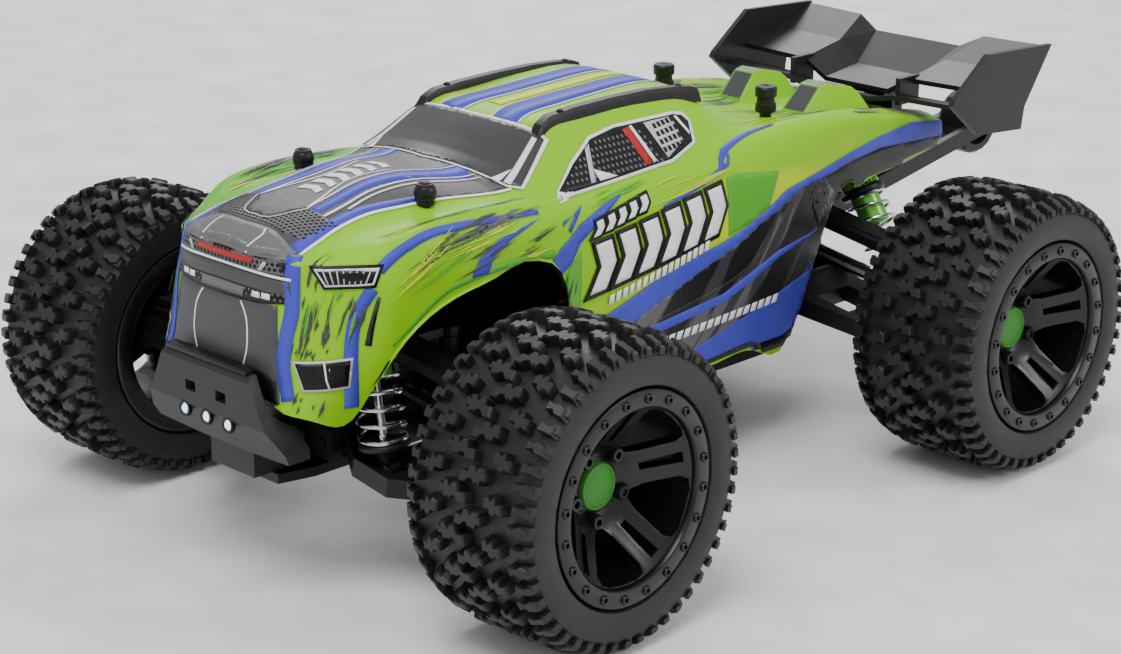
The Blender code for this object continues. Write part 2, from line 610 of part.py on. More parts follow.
def make_spring(name, top, down):
    """A coil spring around the shock, as a wire on a helix."""
    points_per_turn = 8
    count = int(SPRING_TURNS * points_per_turn) + 1
    low, high = SPRING_SPAN[0] + SPRING_WIRE, SPRING_SPAN[1] - SPRING_WIRE
    curve = bpy.data.curves.new(name, "CURVE")
    curve.dimensions = "3D"
    curve.bevel_depth = SPRING_WIRE * MM
    curve.bevel_resolution = 0
    curve.use_fill_caps = True
    spline = curve.splines.new("POLY")
    spline.points.add(count - 1)
    for index, point in enumerate(spline.points):
        angle = 2 * math.pi * index / points_per_turn
        depth = low + (high - low) * index / (count - 1)
        x, y = SPRING_RADIUS * math.cos(angle), SPRING_RADIUS * math.sin(angle)
        point.co = (x * MM, y * MM, -depth * MM, 1)
    curve.materials.append(MATERIALS["spring_steel"])
    obj = bpy.data.objects.new(name, curve)
    obj.location = top * MM
    obj.rotation_mode = "QUATERNION"
    obj.rotation_quaternion = (-down).to_track_quat("Z", "Y")
    obj.parent = ROOT
    TRUCK.objects.link(obj)


# ---------------------------------------------------------------- wheels

def make_wheel(name, side, centre, parent):
    """A rim with its stub axle, and the tyre on it. Heights run outwards from the wheel's middle."""
    half = TYRE_WIDTH / 2
    outwards = (side, 0, 0)
    flange, barrel, bore = RIM_FLANGE_RADIUS, RIM_BARREL_RADIUS, RIM_BORE_RADIUS
    dish = [(25.5, 13), (HUB_RADIUS, 5), (HUB_RADIUS, 9.5), (0, 9.5)]
    outer_side = [(26, half), (flange, half), (flange, half - 4), (barrel, half - 5), (barrel, -half + 4),
                  (flange, -half + 3), (flange, -half), (bore, -half), (bore, 9), (7.5, 1),
                  (STUB_AXLE_RADIUS, 1), (STUB_AXLE_RADIUS, -10.5), (0, -10.5)]
    profile = [*reversed(dish), *outer_side]
    rim = turned(f"{name}_rim", "rim_plastic", profile, centre, outwards, 20, parent=parent)
    for index in range(SPOKES):
        turn = Matrix.Rotation(2 * math.pi * index / SPOKES, 4, "X")
        window = prism([(-4.5, 12), (4.5, 12), (10.5, 22), (6, 24), (-6, 24), (-10.5, 22)], "x",
                       -5 * side, 20 * side)
        combine(rim, "DIFFERENCE", moved(window, Matrix.Translation(Vector(centre)) @ turn), parent=parent)
    tread, shoulder = TYRE_RADIUS, TYRE_RADIUS - 3.2
    seat = barrel + GAP
    tyre_profile = [(flange + GAP, half - 0.5), (36, half), (shoulder, half - 1.5), (tread, half - 7.5),
                    (tread, -half + 7.5), (shoulder, -half + 1.5), (36, -half),
                    (flange + GAP, -half + 0.5), (flange + GAP, -half + 3.6), (seat, -half + 4.8),
                    (seat, half - 5.8), (flange + GAP, half - 4.6)]
    turned(f"{name}_tyre", "tyre_rubber", tyre_profile, centre, outwards, 24, closed=True, parent=parent)


# ---------------------------------------------------------------- steering linkage

def make_steering():
    """A centre link slides across the truck; a tie rod runs from each end of it to a knuckle's stud."""
    y = corner_y(-1, -TIE_ROD_OUT)
    shift = -KNUCKLE_ARM * math.sin(STEER_AT_REST)
    slope = (LOWER_INNER[1] - LOWER_OUTER[1]) / (LOWER_OUTER[0] - LOWER_INNER[0])
    inner_z = TIE_ROD_OUTER_Z + (KING_PIN_X - TIE_ROD_INNER_X) * slope
    for name, side in (("left", 1), ("right", -1)):
        inner = Vector((side * TIE_ROD_INNER_X + shift, y, inner_z))
        outer = Vector((side * KING_PIN_X + shift, y, TIE_ROD_OUTER_Z))
        along = (outer - inner).normalized()
        up = Vector((-along.z, 0, along.x)) * side
        thick = Vector((0, 2, 0))
        eye = rod(inner - thick, inner + thick, 3.0)
        ring = rod(outer - up * 1.2, outer + up * 1.2, 4.6)
        holes = [rod(inner - thick * 2, inner + thick * 2, PIN_RADIUS),
                 rod(outer - up * 3, outer + up * 3, 2.9)]
        solid(f"{name}_tie_rod", "bright_steel", rod(inner + along, outer - along * 4, 1.6),
              adds=[eye, ring], cuts=holes, pivot=inner)
    low, high = inner_z - 1.8, inner_z + 1.8
    horn_x = HORN_PIVOT[0] + shift
    end_x = TIE_ROD_INNER_X + 3.5
    pads = [block((side * 17 + shift, y - 4.3, low), (side * end_x + shift, y + 4.3, high))
            for side in (1, -1)]
    forks = [block((side * 19.5 + shift, y - 2.3, low - 5), (side * (end_x + 5) + shift, y + 2.3, high + 5))
             for side in (1, -1)]
    pins = [long_rod(side * TIE_ROD_INNER_X + shift, y - 3.8, y + 3.8, inner_z, 1.2) for side in (1, -1)]
    slot = block((horn_x - 1.8, y - 1.7, low - 5), (horn_x + 1.8, y + 2.8, high + 5))
    solid("steering_link", "black_plastic", block((-20 + shift, y - 3.4, low), (20 + shift, y + 4.5, high)),
          adds=pads, cuts=[*forks, slot], late=pins)
    make_servo_horn(Vector((horn_x, y, 0)), high + GAP)


def make_servo_horn(tip, bottom):
    """The horn on the servo's spline, with a pin down into the centre link."""
    pivot = Vector((*HORN_PIVOT, 0))
    level = Vector((0, 0, 1))
    turn = Matrix.Translation(pivot) @ (tip - pivot).to_track_quat("X", "Z").to_matrix().to_4x4()
    reach = (tip - pivot).length
    solid("servo_horn", "black_plastic", rod(pivot + level * bottom, pivot + level * (bottom + 3), 4.2),
          adds=[moved(block((0, -2, bottom + 0.2), (reach + 2, 2, bottom + 2.8)), turn),
                rod(tip + level * (bottom - 3), tip + level * (bottom + 1), 1.2)],
          pivot=(*HORN_PIVOT, bottom))


# ---------------------------------------------------------------- wheelie bar and wing

def make_wheelie():
    """Two arms from the rear gearbox to the wheelie wheel, with the mast that carries the wing."""
    x, y, z = WHEELIE_CENTRE
    root_y, root_z = 112, 60
    slope = math.atan2(z - root_z, y - root_y)
    frame = Matrix.Translation((0, root_y, root_z)) @ Matrix.Rotation(slope, 4, "X")
    reach = math.hypot(y - root_y, z - root_z)
    arms = [moved(block((side * 7.2, 0, -3), (side * 9.8, reach + 2, 3)), frame) for side in (1, -1)]
    braces = [moved(block((-9, low, -2.5), (9, low + 8, 2.5)), frame) for low in (20, 45)]
    axle = rod((-9, y, z), (9, y, z), PIN_RADIUS)
    mast = block((-6.5, 158, 66), (6.5, 164, 101.8))
    rest = block((-9, 150, 98), (9, 166, 100.7))
    solid("wheelie_bar", "black_plastic", block((-11, 111 + GAP, 48), (11, 114.5, 66)),
          adds=[*arms, *braces, axle, mast, rest])
    half_width = 5.5
    profile = [(WHEELIE_RADIUS - 1, half_width), (WHEELIE_RADIUS, half_width - 1.5),
               (WHEELIE_RADIUS, -half_width + 1.5), (WHEELIE_RADIUS - 1, -half_width), (8.5, -half_width),
               (8, -2), (PIN_HOLE_RADIUS, -2), (PIN_HOLE_RADIUS, 2), (8, 2), (8.5, half_width)]
    turned("wheelie_wheel", "black_plastic", profile, WHEELIE_CENTRE, (1, 0, 0), 20, closed=True)


def wing_sheet(name_rows, thickness):
    """A closed sheet between rows of points that run across the wing, thickened downwards."""
    shape = bmesh.new()
    grid = []
    for row in name_rows:
        half = [Vector(point) for point in row]
        full = [Vector((-p.x, p.y, p.z)) for p in reversed(half) if p.x > 0] + half
        grid.append([shape.verts.new(point) for point in full])
    for first, second in zip(grid, grid[1:]):
        for left, right in zip(range(len(first)), range(1, len(first))):
            shape.faces.new((first[left], first[right], second[right], second[left]))
    bmesh.ops.recalc_face_normals(shape, faces=shape.faces)
    bmesh.ops.solidify(shape, geom=shape.faces[:], thickness=thickness)
    bmesh.ops.recalc_face_normals(shape, faces=shape.faces)
    return shape


def make_wing():
    span = WING_HALF_SPAN - 1
    plane = [[(0, 145, 102.5), (14, 145, 102.5), (24, 145, 108), (span, 146, 108.5)],
             [(0, 163, 104.5), (14, 163, 104.5), (24, 165, 111.5), (span, 166, 112)],
             [(0, 180, 113.5), (19, 180, 113.5), (28, 182, 118), (span, 183, 118.5)]]
    slat = [[(0, 135, 101.5), (14, 135, 101.5), (24, 135, 103.5), (span, 136, 104)],
            [(0, 143, 100), (14, 143, 100), (24, 143, 102.5), (span, 144, 103)]]
    plate = [(147, 121), (184.5, 119), (170, 99), (168.5, 91), (143, 93.3), (127.5, 106), (129, 108)]
    plates = [prism(plate, "x", side * (WING_HALF_SPAN - 2), side * WING_HALF_SPAN) for side in (1, -1)]
    posts = [block((side * 24 - 1, 138, 99.5), (side * 24 + 1, 149, 109)) for side in (1, -1)]
    solid("rear_wing", "grey_plastic", wing_sheet(plane, 1.8),
          adds=[*plates, *posts, wing_sheet(slat, 1.6)])


# ---------------------------------------------------------------- body shell

def make_body():
    """The shell is a half cage of sections, closed at the nose and tail, mirrored and thickened."""
    shape = bmesh.new()

    def rows_of(levels):
        return [[shape.verts.new(point) for point in row] for row in levels]

    sections = rows_of(BODY_SECTIONS)
    for first, second in zip(sections, sections[1:]):
        for column in range(len(first) - 1):
            shape.faces.new((first[column], first[column + 1], second[column + 1], second[column]))
    close_end(shape, sections[0], rows_of(NOSE_LEVELS))
    close_end(shape, sections[-1], rows_of(TAIL_LEVELS))
    bmesh.ops.recalc_face_normals(shape, faces=shape.faces)
    body = place("body_shell", shape, "lime_shell", smooth_angle=40)
    mirror = body.modifiers.new("mirror", "MIRROR")
    mirror.merge_threshold = 0.0001
    shell = body.modifiers.new("shell", "SOLIDIFY")
    shell.thickness = BODY_THICKNESS * MM
    shell.offset = -1.0
    for x, y in BODY_POSTS.values():
        for side in (1, -1):
            combine(body, "DIFFERENCE", rod((side * x, y, 95), (side * x, y, 125), POST_RADIUS + 0.7))


def close_end(shape, section, levels):
    """Fill an end below a section: the inner four columns in levels, joined to the section's side."""
    inner = 4
    above = section[:inner]
    side = section[inner - 1:]
    for index, row in enumerate(levels):
        for column in range(inner - 1):
            shape.faces.new((above[column], above[column + 1], row[column + 1], row[column]))
        if index == 0:
            corner = (above[-1], side[1], side[2], row[-1])
        else:
            corner = (above[-1], side[index + 1], side[index + 2], row[-1]) if index + 2 < len(side) else (
                above[-1], side[index + 1], row[-1])
        shape.faces.new(corner)
        above = row


# ---------------------------------------------------------------- the truck

def make_corner(end, sign, side_name, side):
    name = f"{end}_{side_name}"
    make_lower_arm(f"{name}_lower_arm", end, sign, side)
    make_upper_link(f"{name}_upper_link", sign, side)
    make_shock(name, end, sign, side)
    make_drive_shaft(f"{name}_drive_shaft", sign, side)
    if end == "front":
        frame = make_steer_frame(side)
        make_c_hub(f"{name}_c_hub", side)
        make_knuckle(f"{name}_knuckle", side, frame)
        make_wheel(name, side, (side * (TRACK / 2 - KING_PIN_X), 0, AXLE_Z), frame)
    else:
        make_hub_carrier(f"{name}_hub_carrier", side)
        make_wheel(name, side, (side * TRACK / 2, corner_y(sign), AXLE_Z), ROOT)


def main():
    make_chassis()
    make_bumper()
    make_electronics()
    make_drive_train()
    for end, sign in (("front", -1), ("rear", 1)):
        make_gearbox(end, sign)
        make_tower(end, sign)
        for side_name, side in (("left", 1), ("right", -1)):
            make_corner(end, sign, side_name, side)
    make_body_mount("front", -1, 82)
    make_body_mount("rear", 1, 76)
    make_steering()
    make_wheelie()
    make_wing()
    make_body()


main()
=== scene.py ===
"""The looks of a four-wheel-drive toy monster truck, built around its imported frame.

Shapes are worked out in the truck's own millimetres: x is left, y is back from the middle of the
wheelbase and z is up from the ground. TRUCK turns them into the frame's metres.
"""

import json
import math
import random

import bmesh
import bpy
from mathutils import Matrix, Vector
from mathutils.bvhtree import BVHTree
from mathutils.geometry import delaunay_2d_cdt

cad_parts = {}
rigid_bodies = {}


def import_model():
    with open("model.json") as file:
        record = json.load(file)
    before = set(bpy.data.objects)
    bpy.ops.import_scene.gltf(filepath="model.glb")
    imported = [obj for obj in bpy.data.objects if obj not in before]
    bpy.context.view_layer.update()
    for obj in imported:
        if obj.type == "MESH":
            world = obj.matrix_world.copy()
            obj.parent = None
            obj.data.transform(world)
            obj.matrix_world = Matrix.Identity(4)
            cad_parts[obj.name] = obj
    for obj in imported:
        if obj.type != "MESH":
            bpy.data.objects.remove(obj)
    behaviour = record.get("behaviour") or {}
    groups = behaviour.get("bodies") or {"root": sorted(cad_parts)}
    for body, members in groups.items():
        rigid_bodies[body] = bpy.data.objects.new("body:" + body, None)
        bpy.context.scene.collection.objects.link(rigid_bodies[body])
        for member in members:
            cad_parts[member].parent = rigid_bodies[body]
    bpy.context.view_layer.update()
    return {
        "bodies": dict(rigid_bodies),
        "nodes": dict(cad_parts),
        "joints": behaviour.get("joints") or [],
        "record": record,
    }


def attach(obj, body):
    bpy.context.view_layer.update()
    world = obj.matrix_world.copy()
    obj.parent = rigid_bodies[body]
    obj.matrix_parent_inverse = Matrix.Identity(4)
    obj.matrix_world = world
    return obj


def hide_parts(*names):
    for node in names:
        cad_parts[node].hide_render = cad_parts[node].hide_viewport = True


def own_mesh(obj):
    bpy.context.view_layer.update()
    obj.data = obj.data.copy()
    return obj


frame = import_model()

MM = 0.001
MID_Y = -37.85
TRUCK = Matrix.Translation((0, MID_Y * MM, 0)) @ Matrix.Scale(MM, 4)
HALF_BASE = 97.0
TYRE_RADIUS = 46.2
KING_PIN_X = 82.0
STUB_LENGTH = 15.0
STEER = math.radians(1.8)
SIDES = [("left", 1), ("right", -1)]
CORNERS = [(end, sign, name, side) for end, sign in (("front", -1), ("rear", 1)) for name, side in SIDES]


# ---------------------------------------------------------------- camera, floor and light

LENS = 82.507
CAMERA_PLACE = (0.5615, -0.60635, 0.3141)
CAMERA_BACK = (0.669, -0.671, 0.3197)
TRUCK_MIDDLE = Vector((0, 0, 0.05))
FLOOR_HALF = 6


def make_camera():
    data = bpy.data.cameras.new("camera")
    data.lens = LENS
    data.sensor_width = 36.0
    camera = bpy.data.objects.new("camera", data)
    back = Vector(CAMERA_BACK).normalized()
    right = Vector((0, 0, 1)).cross(back).normalized()
    up = back.cross(right)
    camera.matrix_world = Matrix((right, up, back)).transposed().to_4x4()
    camera.location = CAMERA_PLACE
    bpy.context.scene.collection.objects.link(camera)
    bpy.context.scene.camera = camera


def area_light(name, place, size, power):
    """A square-cornered lamp that points at the middle of the truck."""
    data = bpy.data.lights.new(name, "AREA")
    data.shape = "RECTANGLE"
    data.size = size[0]
    data.size_y = size[1]
    data.energy = power
    light = bpy.data.objects.new(name, data)
    light.location = place
    light.rotation_euler = (TRUCK_MIDDLE - Vector(place)).to_track_quat("-Z", "Y").to_euler()
    bpy.context.scene.collection.objects.link(light)


def make_studio():
    shape = bmesh.new()
    bmesh.ops.create_grid(shape, x_segments=1, y_segments=1, size=FLOOR_HALF)
    mesh = bpy.data.meshes.new("floor")
    shape.to_mesh(mesh)
    floor = bpy.data.objects.new("floor", mesh)
    bpy.context.scene.collection.objects.link(floor)
    mesh.materials.append(plain("floor_paper", (0.93, 0.93, 0.93), 0.9))
    world = bpy.data.worlds.new("studio")
    world.use_nodes = True
    background = world.node_tree.nodes["Background"]
    background.inputs["Color"].default_value = (1, 1, 1, 1)
    background.inputs["Strength"].default_value = 0.7
    bpy.context.scene.world = world
    area_light("key", (0.3, -0.7, 1.4), (0.8, 0.8), 15)
    area_light("side", (1.3, 0.7, 0.8), (0.5, 0.5), 7)
    area_light("back", (-1.0, 0.9, 1.0), (0.8, 0.6), 9)


# ---------------------------------------------------------------- materials

def shader_of(name):
    material = bpy.data.materials.new(name)
    material.use_nodes = True
    tree = material.node_tree
    return material, tree.nodes, tree.links, tree.nodes["Principled BSDF"]


def plain(name, colour, roughness, metallic=0.0, grain=400.0, depth=0.05, vary=0.08, coat=0.0, gloss=0.5):
    """Moulded or painted stock: a slight change of tone, a fine grain, and a roughness that follows it."""
    material, nodes, links, shader = shader_of(name)
    place = nodes.new("ShaderNodeTexCoord")
    fine = nodes.new("ShaderNodeTexNoise")
    fine.inputs["Scale"].default_value = grain
    fine.inputs["Detail"].default_value = 3.0
    broad = nodes.new("ShaderNodeTexNoise")
    broad.inputs["Scale"].default_value = grain / 12
    links.new(place.outputs["Object"], fine.inputs["Vector"])
    links.new(place.outputs["Object"], broad.inputs["Vector"])
    tone = nodes.new("ShaderNodeValToRGB")
    tone.color_ramp.elements[0].position = 0.3
    tone.color_ramp.elements[1].position = 0.7
    tone.color_ramp.elements[0].color = (*[c * (1 - vary) for c in colour], 1)
    tone.color_ramp.elements[1].color = (*[min(1.0, c * (1 + vary)) for c in colour], 1)
    links.new(broad.outputs["Fac"], tone.inputs["Fac"])
    links.new(tone.outputs["Color"], shader.inputs["Base Color"])
    rough = nodes.new("ShaderNodeMapRange")
    rough.inputs["To Min"].default_value = max(0.02, roughness - 0.06)
    rough.inputs["To Max"].default_value = min(1.0, roughness + 0.06)
    links.new(fine.outputs["Fac"], rough.inputs["Value"])
    links.new(rough.outputs["Result"], shader.inputs["Roughness"])
    bump = nodes.new("ShaderNodeBump")
    bump.inputs["Strength"].default_value = depth
    bump.inputs["Distance"].default_value = 0.0003
    links.new(fine.outputs["Fac"], bump.inputs["Height"])
    links.new(bump.outputs["Normal"], shader.inputs["Normal"])
    shader.inputs["Metallic"].default_value = metallic
    shader.inputs["Coat Weight"].default_value = coat
    shader.inputs["Coat Roughness"].default_value = 0.1
    shader.inputs["Specular IOR Level"].default_value = gloss
    return material


def noise_mask(nodes, links, scale, stretch, low, high, turn=(0, 0, 0)):
    """A mask from 0 to 1 out of noise that is turned and then squeezed by a share along each axis."""
    place = nodes.new("ShaderNodeTexCoord")
    mapping = nodes.new("ShaderNodeMapping")
    mapping.vector_type = "TEXTURE"
    mapping.inputs["Scale"].default_value = [1 / share for share in stretch]
    mapping.inputs["Rotation"].default_value = turn
    links.new(place.outputs["Object"], mapping.inputs["Vector"])
    texture = nodes.new("ShaderNodeTexNoise")
    texture.inputs["Scale"].default_value = scale
    texture.inputs["Detail"].default_value = 4.0
    links.new(mapping.outputs["Vector"], texture.inputs["Vector"])
    mask = nodes.new("ShaderNodeMapRange")
    mask.inputs["From Min"].default_value = low
    mask.inputs["From Max"].default_value = high
    links.new(texture.outputs["Fac"], mask.inputs["Value"])
    return mask.outputs["Result"]


def mixed(nodes, links, factor, first, second):
    mix = nodes.new("ShaderNodeMix")
    mix.data_type = "RGBA"
    for socket, value in (("A", first), ("B", second)):
        target = [s for s in mix.inputs if s.name == socket and s.type == "RGBA"][0]
        if isinstance(value, tuple):
            target.default_value = (*value, 1)
        else:
            links.new(value, target)
    links.new(factor, mix.inputs["Factor"])
    return [s for s in mix.outputs if s.type == "RGBA"][0]


def lime_paint():
    """Lime lacquer with noise patches of yellow-green painted highlight and of mid green painted shade."""
    material, nodes, links, shader = shader_of("lime_paint")
    # The yellow-green patches are painted highlight and the mid green ones painted shade, scattered by noise
    # over the truck.
    yellow = noise_mask(nodes, links, 9, (1.6, 0.55, 1.6), 0.52, 0.60)
    green = noise_mask(nodes, links, 11, (1.5, 0.7, 1.2), 0.56, 0.62, (0.3, 0, 0))
    colour = mixed(nodes, links, yellow, (0.26, 0.60, 0.003), (0.55, 0.72, 0.003))
    colour = mixed(nodes, links, green, colour, (0.12, 0.46, 0.03))
    links.new(colour, shader.inputs["Base Color"])
    shader.inputs["Roughness"].default_value = 0.34
    shader.inputs["Specular IOR Level"].default_value = 0.2
    shader.inputs["IOR"].default_value = 1.35
    return material


def brush_paint():
    """Grey with torn black strokes that lean back, as if swept on with a dry brush."""
    material, nodes, links, shader = shader_of("brush_paint")
    lean = (math.radians(52), 0, 0)
    dark = noise_mask(nodes, links, 110, (1, 0.22, 2.2), 0.48, 0.52, lean)
    black = noise_mask(nodes, links, 42, (1, 0.28, 1.8), 0.46, 0.49, lean)
    colour = mixed(nodes, links, dark, (0.105, 0.105, 0.110), (0.035, 0.035, 0.038))
    colour = mixed(nodes, links, black, colour, (0.004, 0.004, 0.005))
    links.new(colour, shader.inputs["Base Color"])
    shader.inputs["Roughness"].default_value = 0.4
    return material


def lit_lens():
    """A small lamp that is switched on: a cool white glow that varies a little over the lens."""
    material, nodes, links, shader = shader_of("lamp_lens")
    shimmer = nodes.new("ShaderNodeTexNoise")
    shimmer.inputs["Scale"].default_value = 900.0
    glow = nodes.new("ShaderNodeMapRange")
    glow.inputs["To Min"].default_value = 1.2
    glow.inputs["To Max"].default_value = 2.2
    links.new(shimmer.outputs["Fac"], glow.inputs["Value"])
    links.new(glow.outputs["Result"], shader.inputs["Emission Strength"])
    shader.inputs["Base Color"].default_value = (0.72, 0.82, 0.95, 1)
    shader.inputs["Emission Color"].default_value = (0.62, 0.80, 1.0, 1)
    shader.inputs["Roughness"].default_value = 0.15
    return material


def make_materials():
    return {
        "lime": lime_paint(),
        "brush": brush_paint(),
        "blue": plain("blue_ink", (0.060, 0.068, 0.50), 0.42, gloss=0.15),
        "white": plain("white_ink", (0.88, 0.88, 0.90), 0.4, vary=0.02, gloss=0.3),
        "hood": plain("hood_grey", (0.060, 0.060, 0.066), 0.42, gloss=0.35),
        "mid": plain("mid_grey", (0.125, 0.125, 0.130), 0.42, vary=0.05, gloss=0.35),
        "pale": plain("pale_grey", (0.50, 0.50, 0.51), 0.4, vary=0.05),
        "black": plain("black_ink", (0.004, 0.004, 0.005), 0.4, gloss=0.3),
        "glass": plain("tinted_screen", (0.042, 0.042, 0.046), 0.3, gloss=0.4),
        "red": plain("red_ink", (0.42, 0.020, 0.016), 0.4, gloss=0.3),
        # Green ink prints and also lays painted shade on the lime; yellow-green ink prints and also lays
        # painted highlight.
        "green": plain("green_ink_and_painted_shade", (0.09, 0.42, 0.025), 0.38, gloss=0.3),
        "yellow": plain("yellow_green_ink_and_painted_highlight", (0.60, 0.72, 0.006), 0.38, gloss=0.3),
        # The shell's inside is near black: painted shade for the dark seen under the shell through the
        # arches.
        "under": plain("shell_inside_painted_shade", (0.006, 0.006, 0.006), 0.7, gloss=0.2),
        "plastic": plain("black_nylon", (0.006, 0.006, 0.006), 0.42, grain=900, depth=0.15, gloss=0.35),
        "bumper": plain("charcoal_plastic", (0.018, 0.018, 0.019), 0.45, grain=900, depth=0.12, gloss=0.35),
        "wing": plain("wing_plastic", (0.014, 0.014, 0.015), 0.36, grain=900, depth=0.08, gloss=0.3),
        "rim": plain("rim_plastic_black", (0.0045, 0.0045, 0.005), 0.30, grain=700, depth=0.05, gloss=0.45),
        "tyre": plain("tyre_rubber_black", (0.012, 0.012, 0.0125), 0.50, grain=500, depth=0.3, vary=0.25,
                      gloss=0.4),
        "steel": plain("turned_steel", (0.80, 0.80, 0.82), 0.16, metallic=1.0, grain=1500, vary=0.04),
        "bolt": plain("bolt_steel", (0.012, 0.012, 0.013), 0.28, metallic=0.3),
        "wire": plain("spring_wire", (0.72, 0.72, 0.74), 0.2, metallic=1.0, grain=1200, vary=0.04),
        "anodised": plain("green_anodised", (0.15, 0.52, 0.07), 0.3, metallic=0.6, grain=1200),
        "cap": plain("green_cap", (0.045, 0.24, 0.030), 0.42, gloss=0.25),
        "can": plain("motor_can_steel", (0.5, 0.5, 0.52), 0.32, metallic=1.0),
        "brass": plain("brass_stock", (0.6, 0.42, 0.18), 0.3, metallic=1.0),
        "nylon": plain("gear_nylon", (0.10, 0.10, 0.105), 0.45),
        "wrap": plain("battery_film", (0.03, 0.07, 0.30), 0.35, coat=0.4),
        "lens": lit_lens(),
    }


# ---------------------------------------------------------------- mesh helpers, in millimetres

def piece(name, shape, materials, body, smooth=35):
    """Turns a shape in millimetres into an object in the frame that rides on a body."""
    mesh = bpy.data.meshes.new(name)
    shape.transform(TRUCK)
    shape.to_mesh(mesh)
    shape.free()
    for material in materials:
        mesh.materials.append(material)
    mesh.shade_smooth()
    mesh.set_sharp_from_angle(angle=math.radians(smooth))
    obj = bpy.data.objects.new(name, mesh)
    bpy.context.scene.collection.objects.link(obj)
    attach(obj, body)
    return obj


def soften(obj, width, segments, degrees):
    """Rounds the edges that are sharper than an angle, by a width in the object's own units."""
    bevel = obj.modifiers.new("soft_edges", "BEVEL")
    bevel.width = width
    bevel.segments = segments
    bevel.limit_method = "ANGLE"
    bevel.angle_limit = math.radians(degrees)


def merged(*shapes):
    """One bmesh out of several."""
    target = shapes[0]
    for shape in shapes[1:]:
        mesh = bpy.data.meshes.new("part")
        shape.to_mesh(mesh)
        target.from_mesh(mesh)
        bpy.data.meshes.remove(mesh)
        shape.free()
    return target


def lathe(profile, steps, closed=False):
    """A surface turned about +Z from (radius, height) points."""
    shape = bmesh.new()
    rings = []
    for radius, height in profile:
        if radius < 1e-6:
            rings.append([shape.verts.new((0, 0, height))])
            continue
        turns = [2 * math.pi * step / steps for step in range(steps)]
        rings.append([shape.verts.new((radius * math.cos(a), radius * math.sin(a), height)) for a in turns])
    pairs = list(zip(rings, rings[1:]))
    if closed:
        pairs.append((rings[-1], rings[0]))
    for first, second in pairs:
        for index in range(steps):
            other = (index + 1) % steps
            corners = [first[index % len(first)], first[other % len(first)],
                       second[other % len(second)], second[index % len(second)]]
            corners = list(dict.fromkeys(corners))
            if len(corners) > 2:
                shape.faces.new(corners)
    bmesh.ops.recalc_face_normals(shape, faces=shape.faces)
    return shape


def loft(shape, rings):
    """Closes a solid over rings that all have the same number of points."""
    count = len(rings[0])
    for first, second in zip(rings, rings[1:]):
        for index in range(count):
            other = (index + 1) % count
            shape.faces.new((first[index], first[other], second[other], second[index]))
    shape.faces.new(rings[0])
    shape.faces.new(list(reversed(rings[-1])))
    bmesh.ops.recalc_face_normals(shape, faces=shape.faces)


def block(low, high, bevel):
    """A box between two corners, with rounded edges."""
    shape = bmesh.new()
    bmesh.ops.create_cube(shape, size=1.0)
    low, high = Vector(low), Vector(high)
    shape.transform(Matrix.Translation((low + high) / 2) @ Matrix.Diagonal((*(high - low), 1)))
    bmesh.ops.bevel(shape, geom=shape.edges[:], offset=bevel, segments=2, affect="EDGES", profile=0.5)
    return shape


def aimed(shape, origin, direction):
    """Turns a shape that was built about +Z so that it points along a direction."""
    turn = Vector(direction).to_track_quat("Z", "Y").to_matrix().to_4x4()
    shape.transform(Matrix.Translation(origin) @ turn)
    return shape


def hex_bolt(origin, direction, radius=1.5, height=1.2):
    """A socket-head screw: a chamfered head with a six-sided recess."""
    head = lathe([(0, 0), (radius, 0), (radius, height * 0.75), (radius * 0.85, height),
                  (radius * 0.5, height), (radius * 0.5, height * 0.4), (0, height * 0.4)], 12)
    return aimed(head, origin, direction)


# ---------------------------------------------------------------- body shell

